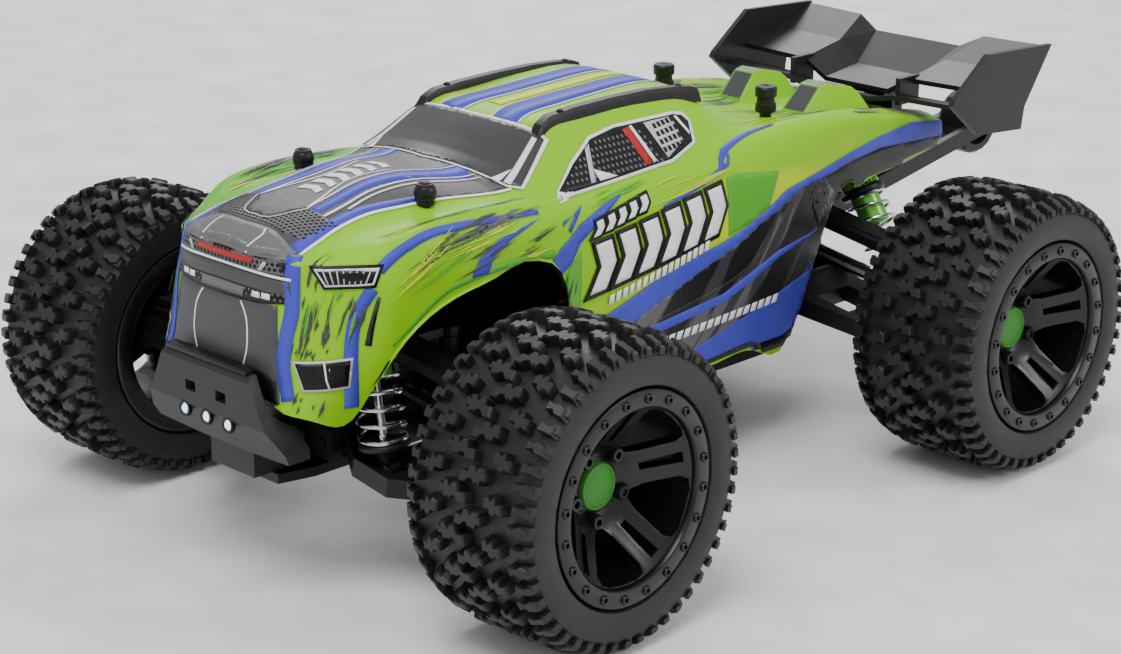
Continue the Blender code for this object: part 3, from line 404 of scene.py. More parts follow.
# Sections from the nose to the tail, each from the centre line out and down to the hem.
BODY_SECTIONS = [
    [(0, -141, 104), (12, -140, 104), (23, -136.5, 102.3), (34, -128, 101),
     (41, -121, 97), (43, -119, 88), (42, -121, 72), (38, -127, 56)],
    [(0, -128, 109.5), (13, -127, 109), (24, -124, 106), (34, -120, 104.5),
     (41, -114, 104.5), (44.5, -111, 95), (44, -113, 79), (43.5, -116.5, 74)],
    [(0, -108, 112.5), (14, -107, 112.3), (27, -105, 107.8), (36, -104, 107),
     (42, -102, 109), (46, -99, 99), (46, -99, 88), (46, -100, 86)],
    [(0, -84, 115), (15, -83, 114.5), (31, -82, 109), (37, -81, 108),
     (42.5, -80, 109.5), (47, -79, 101), (47, -79, 92), (47, -79, 90.5)],
    [(0, -63, 114.5), (18, -62, 113), (35.5, -58.6, 109.5), (38.5, -58, 108.3),
     (43, -57, 108), (47, -56, 100), (47, -56, 92), (47, -56, 90)],
    [(0, -43, 123.5), (15, -42.5, 123), (29.9, -41.1, 120.7), (40, -44, 108),
     (44.5, -43, 105), (47, -43, 97), (47, -44, 72), (46.5, -45, 66)],
    [(0, -25, 126), (15, -25, 125.5), (27.5, -25, 123.5), (41, -25, 108.5),
     (44.5, -25, 104), (47.5, -25, 95), (48, -25, 70), (44, -25, 36)],
    [(0, 5, 127), (15, 5, 126.5), (27, 5, 124.5), (41, 2, 109),
     (44.5, 2, 105), (47.5, 2, 95), (48, 2, 68), (43, 2, 36)],
    [(0, 27, 124), (15, 27, 123.5), (27, 27, 121.5), (40.5, 22, 110),
     (44, 22, 106), (47, 22, 95), (47, 22, 66), (42, 24, 36)],
    [(0, 44, 110), (14, 44, 110), (27, 44, 110), (37, 43, 109.5),
     (42, 42, 107), (45.5, 40, 97), (46, 40, 66), (41, 44, 36)],
    [(0, 62, 107), (14, 62, 107), (27, 62, 108.5), (36, 62, 109),
     (41, 62, 106.5), (43.5, 62, 95), (43.5, 64, 70), (41, 62, 36)],
    [(0, 85, 103.5), (14, 85, 103.5), (25, 85, 105.5), (34, 85, 108),
     (39.5, 85, 105.5), (41, 85, 94), (41, 84, 82), (40.5, 84, 80)],
    [(0, 95, 103), (14, 95, 103), (24, 96, 104), (32.5, 97, 106.5),
     (38.5, 97, 104), (39.5, 97, 93), (39.5, 97, 84), (39, 97, 81)],
    [(0, 104, 102), (14, 103, 103.5), (23.5, 104, 103), (31.5, 104, 105.5),
     (37.5, 104, 103), (38.5, 104, 92), (38.5, 104, 84.5), (38, 104, 81.5)],
    [(0, 117, 100.5), (15, 117, 101), (22.5, 117, 101.3), (30, 116, 103),
     (36.5, 116, 100.5), (37, 116, 91), (37, 116, 85), (36.5, 116, 82)],
    [(0, 126, 98.5), (15, 124, 99.5), (21.5, 126, 100), (29, 126, 100.5),
     (35.5, 126, 98.5), (36, 126, 90.5), (36, 126, 85.5), (35.5, 126, 82.5)],
    [(0, 154, 93), (13, 154, 93), (20, 154, 94.5), (26, 153, 94.5),
     (32, 153, 93), (32.5, 153, 90), (32.5, 153, 87), (32, 153, 84.5)],
]
# The inner four columns of each end, from under the first or last section down to the hem.
NOSE_LEVELS = [
    [(0, -141, 98), (12, -140.5, 98), (23.5, -137.5, 97), (34, -129, 96)],
    [(0, -142.5, 87), (12, -142, 87), (24, -139.5, 86), (35, -131, 84)],
    [(0, -144, 72), (12, -143.5, 71.5), (26, -141.5, 70), (36, -134, 68)],
    [(0, -143.5, 64), (12, -143, 63), (28, -143.5, 59.5), (35, -137, 57)],
]
TAIL_LEVELS = [
    [(0, 155, 90), (13, 155, 90), (20, 155, 90), (26, 154.5, 90)],
    [(0, 155.5, 87), (13, 155.5, 87), (20, 155.5, 87), (26, 155, 87)],
    [(0, 155.5, 84.5), (13, 155.5, 84.5), (20, 155.5, 84.5), (26, 155, 84.5)],
]


def close_end(shape, section, levels):
    """Fill an end below a section: the inner four columns in levels, joined to the section's side."""
    above = section[:4]
    side = section[3:]
    for index, row in enumerate(levels):
        for column in range(3):
            shape.faces.new((above[column], above[column + 1], row[column + 1], row[column]))
        if index + 2 < len(side):
            corner = (above[-1], side[index + 1], side[index + 2], row[-1])
        else:
            corner = (above[-1], side[index + 1], row[-1])
        shape.faces.new(corner)
        above = row


CREASE_ANGLE = 38
CREASE = 0.45
FIT_ROUNDS = 6
FIT_SHARE = 0.8
SHELL_THICKNESS = 1.0


def body_cage():
    """The coarse mesh that the shell is subdivided from, both halves, creased where it turns sharply."""
    shape = bmesh.new()
    sections = [[shape.verts.new(point) for point in row] for row in BODY_SECTIONS]
    for first, second in zip(sections, sections[1:]):
        for column in range(len(first) - 1):
            shape.faces.new((first[column], first[column + 1], second[column + 1], second[column]))
    close_end(shape, sections[0], [[shape.verts.new(point) for point in row] for row in NOSE_LEVELS])
    close_end(shape, sections[-1], [[shape.verts.new(point) for point in row] for row in TAIL_LEVELS])
    mirrored = shape.copy()
    mirrored.transform(Matrix.Scale(-1, 4, (1, 0, 0)))
    shape = merged(shape, mirrored)
    bmesh.ops.remove_doubles(shape, verts=shape.verts, dist=0.01)
    bmesh.ops.recalc_face_normals(shape, faces=shape.faces)
    crease = shape.edges.layers.float.new("crease_edge")
    for edge in shape.edges:
        if len(edge.link_faces) == 2 and edge.calc_face_angle(0.0) > math.radians(CREASE_ANGLE):
            edge[crease] = CREASE
    return shape


def smoothed(cage, levels):
    """The subdivided skin that passes through the cage's own points."""
    mesh = bpy.data.meshes.new("skin")
    cage.to_mesh(mesh)
    obj = bpy.data.objects.new("skin", mesh)
    bpy.context.scene.collection.objects.link(obj)
    modifier = obj.modifiers.new("soften", "SUBSURF")
    modifier.levels = modifier.render_levels = levels
    wanted = [vert.co.copy() for vert in mesh.vertices]
    for _ in range(FIT_ROUNDS):
        found = obj.evaluated_get(bpy.context.evaluated_depsgraph_get()).to_mesh()
        reached = [found.vertices[index].co.copy() for index in range(len(wanted))]
        for vert, want, reach in zip(mesh.vertices, wanted, reached):
            vert.co += (want - reach) * FIT_SHARE
        mesh.update()
        bpy.context.view_layer.update()
    skin = bmesh.new()
    skin.from_mesh(bpy.data.meshes.new_from_object(obj.evaluated_get(bpy.context.evaluated_depsgraph_get())))
    bpy.data.objects.remove(obj)
    return skin


def thickened(skin):
    """Gives an open skin an inner wall in the second material, and a rim between the two walls."""
    bmesh.ops.recalc_face_normals(skin, faces=skin.faces)
    highest = max(skin.verts, key=lambda vert: vert.co.z)
    if highest.normal.z < 0:
        bmesh.ops.reverse_faces(skin, faces=skin.faces)
    skin.normal_update()
    outer = list(skin.faces)
    rim = [edge for edge in skin.edges if edge.is_boundary]
    inner = {vert: skin.verts.new(vert.co - vert.normal * SHELL_THICKNESS) for vert in list(skin.verts)}
    for face in outer:
        skin.faces.new([inner[vert] for vert in reversed(face.verts)]).material_index = 1
    for edge in rim:
        first, second = edge.verts
        skin.faces.new((first, second, inner[second], inner[first]))
    bmesh.ops.recalc_face_normals(skin, faces=skin.faces)


def make_shell(materials):
    """Makes the shell, and returns a search tree over its outer skin for the printed graphics."""
    skin = smoothed(body_cage(), 2)
    tree = BVHTree.FromBMesh(skin)
    thickened(skin)
    shell = piece("shell", skin, [materials["lime"], materials["under"]], "chassis", smooth=50)
    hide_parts("body_shell")
    return tree


# ---------------------------------------------------------------- printed graphics and painted highlight and shade, laid on the shell

VIEWS = {"side": Vector((-1, 0, 0)), "top": Vector((0, 0, -1)), "front": Vector((0, 1, 0)),
         "corner": Vector((-0.7, 0.7, 0)).normalized()}
INK_THICKNESS = 0.08
BASE_LIFT = 0.16
LAYER_STEP = 0.07
CAST_FROM = 300
CAST_REACH = 350
GRID = 1.8
RIBBON_STEP = 2.0
WHOLE_CELL = 9


class Graphics:
    """Collects thin shapes laid on the shell, printed or of painted highlight and shade, one mesh for each
    ink.
    """

    def __init__(self, tree):
        self.tree = tree
        self.inks = {}

    def sheet(self, ink):
        if ink not in self.inks:
            self.inks[ink] = bmesh.new()
        return self.inks[ink]

    def land(self, point, view, layer):
        """Where a point seen along a view lands on the shell, lifted by its layer."""
        lift = BASE_LIFT + LAYER_STEP * layer
        start = point - view * CAST_FROM
        spot, normal, *_ = self.tree.ray_cast(start, view, CAST_REACH)
        if spot is None:
            spot, normal, *_ = self.tree.find_nearest(point)
        if normal.dot(view) > 0:
            normal = -normal
        return spot + normal * lift

    def patch(self, ink, outline, view, layer, grid=GRID, mirror=True):
        """A filled outline: y, z from the side, x, y from the top, x, z from the front, or x, y, z."""
        lifted = [self.lifted(pair, view) for pair in outline]
        self.fill(ink, lifted, VIEWS[view], layer, grid)
        if mirror:
            direction = VIEWS[view].copy()
            direction.x = -direction.x
            flipped = [Vector((-p.x, p.y, p.z)) for p in lifted]
            self.fill(ink, flipped, direction, layer, grid)

    def lifted(self, pair, view):
        """A point of an outline, in space in front of the face of the shell that a view looks at."""
        if len(pair) == 3:
            return Vector(pair)
        first, second = pair
        return {"side": Vector((60, first, second)), "top": Vector((first, second, 140)),
                "front": Vector((first, -160, second))}[view]

    def fill(self, ink, outline, direction, layer, grid):
        """Meshes an outline as seen along a direction, and lands every point of the mesh on the shell."""
        across = direction.orthogonal() if abs(direction.z) > 0.9 else direction.cross((0, 0, 1))
        across.normalize()
        upward = across.cross(direction).normalized()
        flat = [Vector((p.dot(across), p.dot(upward))) for p in outline]
        edge = []
        for first, second in zip(flat, flat[1:] + flat[:1]):
            count = max(1, int((second - first).length / grid))
            edge += [first.lerp(second, step / count) for step in range(count)]
        low = Vector((min(p.x for p in flat), min(p.y for p in flat)))
        high = Vector((max(p.x for p in flat), max(p.y for p in flat)))
        inside = []
        for column in range(1, int((high.x - low.x) / grid) + 1):
            for row in range(1, int((high.y - low.y) / grid) + 1):
                spot = low + Vector((column * grid, row * grid))
                if contains(edge, spot) and min((spot - e).length for e in edge) > grid * 0.45:
                    inside.append(spot)
        loop = list(range(len(edge)))
        verts, _, faces, *_ = delaunay_2d_cdt(edge + inside, [], [loop], 1, 1e-5)
        sheet = self.sheet(ink)
        depth = direction * outline[0].dot(direction)
        spots = [across * vert.x + upward * vert.y + depth for vert in verts]
        made = [sheet.verts.new(self.land(spot, direction, layer)) for spot in spots]
        for corners in faces:
            sheet.faces.new([made[index] for index in corners])

    def ribbon(self, ink, points, width, layer=1, mirror=True):
        """A stripe along points near the shell, with one width or a few that it passes through in turn."""
        for sign in ((1, -1) if mirror else (1,)):
            self.stripe(ink, [Vector((sign * p[0], p[1], p[2])) for p in points], width, layer)

    def stripe(self, ink, points, width, layer):
        """One ribbon: three points across at each step, each on the nearest place of the shell."""
        points = resampled(points, RIBBON_STEP)
        widths = width if isinstance(width, tuple) else (width, width)
        count = len(points) - 1
        sheet = self.sheet(ink)
        rows = []
        for index, point in enumerate(points):
            along = points[min(index + 1, count)] - points[max(index - 1, 0)]
            spot, normal, _, _ = self.tree.find_nearest(point)
            share = index / count * (len(widths) - 1)
            stage = min(int(share), len(widths) - 2)
            wide = widths[stage] + (widths[stage + 1] - widths[stage]) * (share - stage)
            side = normal.cross(along).normalized() * wide / 2
            row = []
            for offset in (-side, Vector(), side):
                near, out, _, _ = self.tree.find_nearest(spot + offset)
                row.append(sheet.verts.new(near + outward(out, normal) * (BASE_LIFT + LAYER_STEP * layer)))
            rows.append(row)
        for first, second in zip(rows, rows[1:]):
            for column in range(2):
                sheet.faces.new((first[column], first[column + 1], second[column + 1], second[column]))

    def finish(self, materials):
        """Makes one thin raised piece of each ink."""
        for ink, sheet in self.inks.items():
            bmesh.ops.remove_doubles(sheet, verts=sheet.verts, dist=0.0001)
            self.face_out(sheet)
            obj = piece(f"print_{ink}", sheet, [materials[ink]], "chassis", smooth=60)
            thick = obj.modifiers.new("ink", "SOLIDIFY")
            thick.thickness = INK_THICKNESS * MM
            thick.offset = 1.0

    def face_out(self, sheet):
        """Turns each face to the side that the shell faces under it."""
        sheet.normal_update()
        for face in sheet.faces:
            _, normal, _, _ = self.tree.find_nearest(face.calc_center_median())
            if face.normal.dot(normal) < 0:
                face.normal_flip()


def outward(normal, like):
    """A normal, turned to the side that another direction points to."""
    return normal if normal.dot(like) > 0 else -normal


def contains(outline, spot):
    """Whether a point is inside an outline, by counting crossings."""
    inside = False
    for first, second in zip(outline, outline[1:] + outline[:1]):
        if (first.y > spot.y) != (second.y > spot.y):
            crossing = first.x + (spot.y - first.y) * (second.x - first.x) / (second.y - first.y)
            if spot.x < crossing:
                inside = not inside
    return inside


def grown(outline, margin):
    """An outline moved outwards by a margin, or inwards by a negative one, with sharp corners."""
    points = [Vector(pair) for pair in outline]
    pairs = list(zip(points, points[1:] + points[:1]))
    area = sum(a.x * b.y - b.x * a.y for a, b in pairs)
    turn = margin if area > 0 else -margin
    result = []
    for index, point in enumerate(points):
        before = (point - points[index - 1]).normalized()
        after = (points[(index + 1) % len(points)] - point).normalized()
        out = Vector((before.y + after.y, -before.x - after.x))
        reach = max(0.45, out.length / 2)
        result.append(tuple(point + out.normalized() * turn / reach))
    return result


def shrunk(corners, margin):
    """Four corners in space, each moved towards the inside of its own corner."""
    points = [Vector(corner) for corner in corners]
    result = []
    for index, point in enumerate(points):
        to_last = (points[index - 1] - point).normalized()
        to_next = (points[(index + 1) % len(points)] - point).normalized()
        result.append(tuple(point + (to_last + to_next) * margin))
    return result


def resampled(points, step):
    """Points every step along a smooth curve through the given ones."""
    result = []
    for index in range(len(points) - 1):
        before = points[max(index - 1, 0)]
        first, second = points[index], points[index + 1]
        after = points[min(index + 2, len(points) - 1)]
        count = max(1, int((second - first).length / step))
        for part in range(count):
            t = part / count
            result.append(0.5 * (2 * first + (second - before) * t
                                 + (2 * before - 5 * first + 4 * second - after) * t * t
                                 + (3 * first - before - 3 * second + after) * t ** 3))
    return result + [points[-1]]


# ---------------------------------------------------------------- the printed scheme, with painted highlight and shade

def print_hood(art):
    """The grey bonnet panel, its blue and white stripes, and a row of chevrons."""
    art.patch("hood", [(24.2, -133), (24.0, -126), (22.6, -116), (22.6, -106), (25, -95), (27.5, -84),
                       (30.5, -72), (33.6, -60), (0, -65), (0, -133.5)], "top", 0)
    edge = [(24.5, -133, 103), (24, -126, 105), (22.6, -116, 107), (22.6, -106, 108.5), (25, -95, 109),
            (27.5, -84, 109.5), (30.5, -72, 109.6), (34, -60, 109.6)]
    art.ribbon("white", edge, 1.1, 2)
    inner = [(x - 2.4, y, z + 0.4) for x, y, z in edge[:6]]
    art.ribbon("blue", inner, (5.0, 1.4), 1)
    stripe = [(13.2, -118, 110), (12.6, -110, 111.5), (11, -100, 112.5), (11.2, -91, 113),
              (12.6, -82, 113.5),
              (14.6, -73, 113.5), (17, -63, 113)]
    art.ribbon("blue", stripe, (3.0, 6.0, 10.5), 1)
    for shift, start, wide in ((-2.9, 0, 0.8), (3.9, 0, 0.9), (6.0, 1, 0.7)):
        line = [(x + shift * (1 + 0.03 * i), y, z) for i, (x, y, z) in enumerate(stripe)][start:]
        art.ribbon("white", line, (wide, 0.4), 3)
    scoop = [(10.6, -118.3, 110), (8.6, -111.5, 111), (4.6, -97, 113), (7.2, -84, 113.5)]
    art.ribbon("white", scoop, (0.8, 0.5), 3)
    for index in range(6):
        y = -110 + index * 5.2
        chevron = [(-4.2, y), (0, y + 1.6), (4.2, y), (4.2, y + 2.9), (0, y + 4.5), (-4.2, y + 2.9)]
        art.patch("white", chevron, "top", 3, mirror=False)


def print_nose(art):
    """The meshed panel at the bonnet's front, the grille with its lamps, and the lower grey face."""
    mesh = [(22, -117.5), (20.3, -129), (13, -131.4), (0, -132), (0, -129.2), (5.8, -128.8), (11.2, -118.4)]
    art.patch("mid", mesh, "top", 1)
    honeycomb(art, "black", mesh, "top", 2, 1.5, 0.56)
    art.patch("hood", [(0, -118.2), (10.6, -118.4), (5.4, -128.2), (0, -128.6)], "top", 2)
    art.ribbon("pale", [(11, -118.4, 109.5), (5.8, -128.2, 108.6), (0, -128.8, 108.6)], 0.55, 4)
    art.patch("mid", [(24, -133.6), (13, -132), (0, -132.6), (0, -141.2), (13, -140.3), (23.2, -136.8)],
              "top", 1)
    lip = [(-23.6, 104), (0, 105.4), (23.6, 104), (22.8, 101.4), (0, 102.4), (-22.8, 101.4)]
    art.patch("mid", lip, "front", 1, 1.2, mirror=False)
    seam = [(9.3, -132.3, 106), (10.4, -134.4, 105.4), (10.0, -139.6, 103.6), (10.0, -140.6, 102.6)]
    art.ribbon("white", seam, 0.6, 3)
    art.patch("black", [(-22.5, 102), (0, 103), (22.5, 102), (26, 90.2), (16, 89.2), (0, 88.8), (-16, 89.2),
                        (-26, 90.2)], "front", 1, mirror=False)
    grille = [(-21, 101.4), (0, 102.4), (21, 101.4), (23.2, 97.8), (0, 98.6), (-23.2, 97.8)]
    art.patch("mid", grille, "front", 2, mirror=False)
    honeycomb(art, "black", grille, "front", 3, 1.7, 0.66, mirror=False)
    art.patch("red", [(-13, 101.8), (13, 101.8), (12, 99.9), (-12, 99.9)], "front", 4, mirror=False)
    art.patch("pale", [(16.2, 101.2), (17.6, 101.0), (15.8, 98.4), (14.4, 98.5)], "front", 4)
    art.ribbon("white", [(25, -137, 96.9), (20, -138.9, 97.3), (10, -140.6, 97.9), (0, -141.2, 98.1)],
               0.8, 4)
    art.patch("hood", [(24.6, 96.2), (12, 97), (0, 97.2), (0, 93.2), (12, 93), (25.4, 92.2)], "front", 2)
    art.patch("mid", [(9.5, 92.6), (0, 92.8), (0, 90), (9.5, 89.9)], "front", 3)
    for x in (13.0, 16.6):
        art.patch("white", [(x, 92.3), (x + 2.9, 92.2), (x + 2.9, 90.6), (x, 90.7)], "front", 4, 2)
    honeycomb(art, "mid", [(10, 92.9), (24, 92.4), (24, 89.8), (10, 89.4)], "front", 3, 1.7, 0.4)
    art.patch("hood", [(-22, 89.3), (0, 88.6), (22, 89.3), (23.5, 76), (26, 62), (22, 60), (0, 62.5),
                       (-22, 60),
                       (-26, 62), (-23.5, 76)], "front", 0, mirror=False)
    art.patch("black", [(0, 71.2), (16, 70.4), (23.5, 68.6), (25.5, 61.5), (0, 63.6)], "front", 1)
    art.ribbon("white", [(8.6, -142, 88.4), (11.4, -142.6, 84), (12.2, -143.4, 76), (10.6, -143.8, 70),
                         (9.0, -143.2, 65)], 0.55, 2)
    art.ribbon("blue", [(23.6, -134, 103), (25.6, -137.4, 97), (26.2, -138.2, 88), (25.2, -139.6, 80),
                        (25.4, -140.6, 72), (28, -141.6, 63)], (4.6, 4.2), 2)


def print_lamps(art):
    """The slatted headlight and the lower lamp at each corner of the nose."""
    frame = [(28.6, -133.5, 101.2), (42.5, -118, 100.8), (42.0, -120.5, 94.9), (32.4, -131.5, 94.5)]
    art.patch("black", frame, "corner", 3, 1.5)
    art.patch("white", shrunk(frame, 0.9), "corner", 4, 1.5)
    core = shrunk(frame, 1.5)
    art.patch("black", core, "corner", 5, 1.5)
    for index in range(8):
        share = 0.1 + index * 0.115
        top = Vector(core[0]).lerp(Vector(core[1]), share)
        foot = Vector(core[3]).lerp(Vector(core[2]), share - 0.05)
        art.ribbon("pale", [tuple(top), tuple(foot)], 0.42, 7)
    art.ribbon("pale", [core[0], core[1]], 0.4, 7)
    fog = [(27.6, -139.8, 74.4), (38.6, -126.6, 75.0), (38.3, -127.8, 66.2), (30.4, -138.4, 66.0)]
    art.patch("pale", fog, "corner", 3, 1.5)
    art.patch("black", shrunk(fog, 0.7), "corner", 4, 1.5)
    art.ribbon("white", [(33.2, -133, 73.8), (34.4, -133, 66.6)], 0.5, 6)


def print_windows(art):
    """The windscreen with its edges, and the side windows with their mesh, panes and bars."""
    art.patch("white", [(-32.6, -60.6), (0, -65.2), (32.6, -60.6), (36.6, -57.6), (30.2, -40.6), (0, -42),
                        (-30.2, -40.6), (-36.6, -57.6)], "top", 3, 1.2, mirror=False)
    art.patch("glass", [(-32, -59.9), (0, -64.4), (32, -59.9), (35.4, -57.4), (29.3, -41.6), (0, -43),
                        (-29.3, -41.6), (-35.4, -57.4)], "top", 5, 1.2, mirror=False)
    art.patch("white", [(27.6, -43), (25.9, -43.2), (30.4, -59.8), (32.8, -59.2)], "top", 7, 1.5)
    art.patch("white", [(28.7, -54.5), (26, -61.8), (29.4, -60.8)], "top", 7, 1.5)
    window = [(-50.5, 105.6), (-37.5, 114.2), (-26, 119.2), (-14, 120.6), (12, 120.4), (16.6, 119.6),
              (18, 117.2),
              (14.6, 111.2), (2, 107.9), (-26, 106.6)]
    art.patch("white", window, "side", 2)
    dark = [(-48.8, 106.3), (-36.8, 113.6), (-25.6, 118.4), (-14, 119.8), (12, 119.6), (15.4, 118.8),
            (16.6, 117),
            (13.6, 111.8), (1.8, 108.7), (-26, 107.4)]
    art.patch("black", dark, "side", 3)
    honeycomb(art, "mid", [(-45, 107.4), (-34, 114), (-25, 117.6), (-4, 118.6), (-2, 109), (-26, 107.8)],
              "side", 4,
              1.9, 0.5)
    art.patch("pale", [(-33.8, 107.7), (-31.8, 107.8), (-27.2, 117.4), (-29.6, 116.4)], "side", 5, 2)
    art.patch("white", [(-30, 107.8), (-22.4, 108), (-30.4, 111)], "side", 5, 2)
    art.patch("red", [(-11.4, 118.8), (-8.4, 119.2), (-6.2, 109.2), (-9.4, 108.8)], "side", 5, 2)
    art.patch("white", [(-8.2, 119.2), (-7.0, 119.3), (-4.4, 109.2), (-5.9, 109.0)], "side", 6, 2)
    art.patch("pale", [(-1.8, 119.2), (10.4, 119.2), (10.0, 112.6), (0.6, 109.2)], "side", 5, 2)
    for column in range(5):
        for row in range(4):
            y = 0.4 + column * 2.05 + row * 0.25
            z = 110.6 + row * 2.15 + column * 0.18
            cell = [(y, z), (y + 1.35, z + 0.1), (y + 1.25, z + 1.45), (y - 0.1, z + 1.35)]
            art.patch("black", cell, "side", 6, 2)
    art.patch("white", [(11.6, 119.0), (12.8, 119.0), (14.6, 114.4), (13.8, 113.6)], "side", 5, 2)


def print_roof(art):
    """A blue stripe with white edges on each side of a yellow-green one."""
    stripe = [(12, -41.5, 122.5), (10.4, -34, 124.4), (9.8, -20, 126), (9.8, 0, 126.6), (10, 14, 126),
              (10.6, 26, 123.6)]
    art.ribbon("white", stripe, (11.4, 10.4), 1)
    art.ribbon("blue", stripe, (9.8, 8.8), 3)
    art.ribbon("yellow", [(0, -34, 124.6), (0, -15, 126.4), (0, 24, 124)], 6.0, 0, mirror=False)


def print_side(art):
    """The long blue band, the brushed lower door with its blue flashes, and the fender's stripes, with mid
    green painted shade on the door and along the front arch.
    """
    top = [(-33, 67.8), (-9.3, 75.1), (9.7, 78.4), (20, 79.6), (31, 82), (43, 85.4), (54, 89.6), (71, 91.4),
           (92, 94), (112, 95.6), (132, 96.4), (154, 92.6)]
    foot = [(154, 87.6), (139, 89), (112, 91.4), (93, 90.8), (75, 88.8), (62, 88), (49, 84), (39, 81.6),
            (27, 77.2),
            (10, 73), (-17, 64.5), (-34, 56), (-36, 62)]
    art.patch("blue", top + foot, "side", 2)
    art.patch("black", [(156, 88), (139, 89.2), (112, 91.6), (93, 91), (75, 89), (66, 86), (74, 70),
                        (84, 78),
                        (97, 78.5), (116, 79), (156, 79)], "side", 1)
    art.patch("brush", [(-34, 56.4), (-17, 64.8), (10, 73.4), (27, 77.6), (39, 82), (49, 84.4), (62, 88.4),
                        (76, 89.4), (86, 79), (84, 70), (66, 34), (-27, 34), (-33, 50)], "side", 1)
    art.patch("blue", [(-28, 36), (-27, 41), (11, 45.6), (34, 50.4), (54, 55.2), (76, 59.4), (74, 50),
                       (66, 36)],
              "side", 2)
    art.patch("black", [(-28, 34), (66, 34), (66, 40), (61.6, 39.4), (58, 38.2), (-28, 38.2)], "side", 3, 2)
    art.patch("blue", [(-20, 55), (7, 57.5), (22, 58.6), (35, 62.4), (50, 67.4), (76, 72), (50, 69.9),
                       (34, 65.6),
                       (21, 61.8), (5, 60.8), (-18, 58.6)], "side", 2)
    art.ribbon("brush", [(47, -10, 60.5), (46, 14, 64), (46, 30, 67), (45, 44, 74)], (1.2, 0.6), 3)
    art.patch("blue", [(-57, 88.4), (-53.2, 83.4), (-48, 87), (-44.4, 92.6), (-34.5, 98.6), (-24, 103.6),
                       (-34, 102), (-44, 98.6), (-48, 95.6), (-52.4, 93)], "side", 1)
    art.patch("blue", [(-51.6, 99.2), (-42.1, 104), (-48.2, 96.6), (-49.2, 97.8), (-45.6, 102),
                       (-51, 100.6)],
              "side", 1, 2)
    art.patch("blue", [(-88.6, 91.6), (-85.4, 97), (-77.6, 101), (-60, 103.6), (-73, 100), (-80.2, 96),
                       (-82, 91.4)],
              "side", 1)
    # Mid green patches on the door, in front of and behind the emblem: painted shade on the lime.
    art.patch("green", [(22.4, 81), (22.4, 99.8), (26, 100.4), (50, 96.6), (44, 86), (32, 82.6)], "side", 0)
    art.patch("green", [(-50, 72), (-50, 84), (-44, 90), (-44, 73), (-46, 67)], "side", 0)
    fender = [(44, -60, 104.5), (44.6, -74, 106), (44, -90, 107), (43, -102, 106.6), (42, -112, 103.4),
              (41.4, -118.6, 99.4)]
    art.ribbon("blue", fender, (1.4, 3.2), 1)
    art.ribbon("blue", [(41.2, -121, 94.6), (40, -123.2, 91), (38.6, -125.6, 86), (38.2, -127.2, 76),
                        (38.8, -127.8, 60)], (3.6, 4.6), 1)
    scratch = [(42.2, -119.6, 92), (41.6, -120.6, 88), (41.0, -121.8, 83), (40.6, -122.8, 78)]
    art.ribbon("brush", scratch, (1.0, 2.0), 0)
    # A darker green band along the front wheel arch's edge: painted shade.
    arch_shade_line = [(44, -116, 77.2), (46, -100, 88.4), (46.6, -90, 91.2), (47, -79, 92.4), (47, -66, 92.6),
            (47, -55, 91.6)]
    art.ribbon("green", arch_shade_line, (1.2, 2.6), 0)
    belt = [(46.6, -8, 96.6), (46, 4, 98.6), (45.4, 15, 101), (45, 20.4, 102.6), (44, 21.6, 105.4),
            (43, 24, 107.2),
            (41, 31, 108.8), (37.6, 44, 109.6), (36, 56, 108.8)]
    art.ribbon("blue", belt, (0.6, 2.4, 1.0), 1)
    art.ribbon("blue", [(45, 20.6, 102.8), (44.6, 24.2, 103.6), (44, 25.2, 105.4), (43, 25.4, 106.4)],
               1.3, 1)


def print_emblems(art):
    """Slanted chevron bars where a printed name would be."""
    for index in range(6):
        y, z = -40.6 + index * 10.1, 75.6 + index * 1.35
        bar = [(y, z), (y + 6.4, z + 0.9), (y + 10.6, z + 9.0), (y + 8.8, z + 15.9), (y + 2.4, z + 15.2),
               (y + 4.6, z + 8.2)]
        art.patch("black", grown(bar, 1.5), "side", 3)
        art.patch("white", bar, "side", 5)
    for index in range(5):
        y, z = -39.2 + index * 5.0, 93.4 + index * 0.85
        bar = [(y, z), (y + 3.0, z + 0.4), (y + 4.8, z + 2.6), (y + 4.4, z + 4.9), (y + 1.6, z + 4.5),
               (y + 2.0, z + 2.3)]
        art.patch("black", grown(bar, 1.0), "side", 4, 1.2)
        art.patch("white", bar, "side", 6, 1)
    for index in range(16):
        y, z = -33 + index * 2.85, 73.2 + index * 0.52
        art.patch("white", [(y, z - 2.4), (y + 1.9, z - 2.1), (y + 2.5, z + 1.0), (y + 0.6, z + 0.7)],
                  "side", 6, 2)
    for index in range(17):
        y, z = -12 + index * 3.75, 52.4 + index * 0.05
        art.patch("white", [(y, z - 1.4), (y + 2.7, z - 1.3), (y + 3.5, z + 1.6), (y + 0.8, z + 1.5)],
                  "side", 6, 2)


def splinters(art, ink, view, middle, length, spread, lean, count, seed):
    """A torn brush stroke: slim slivers side by side, with ends that don't line up."""
    chance = random.Random(seed)
    along = Vector((math.cos(math.radians(lean)), math.sin(math.radians(lean))))
    across = Vector((-along.y, along.x))
    for _ in range(count):
        half = length * chance.uniform(0.12, 0.5)
        wide = chance.uniform(0.12, 0.42)
        spot = Vector(middle) + across * chance.uniform(-0.5, 0.5) * spread
        spot += along * chance.uniform(-0.5, 0.5) * (length - half)
        bow = across * chance.uniform(-0.6, 0.6)
        sliver = [spot - along * half, spot + bow - across * wide,
                  spot + along * half, spot + bow * 0.6 + across * wide]
        art.patch(ink, [tuple(point) for point in sliver], view, 2, 1.6)
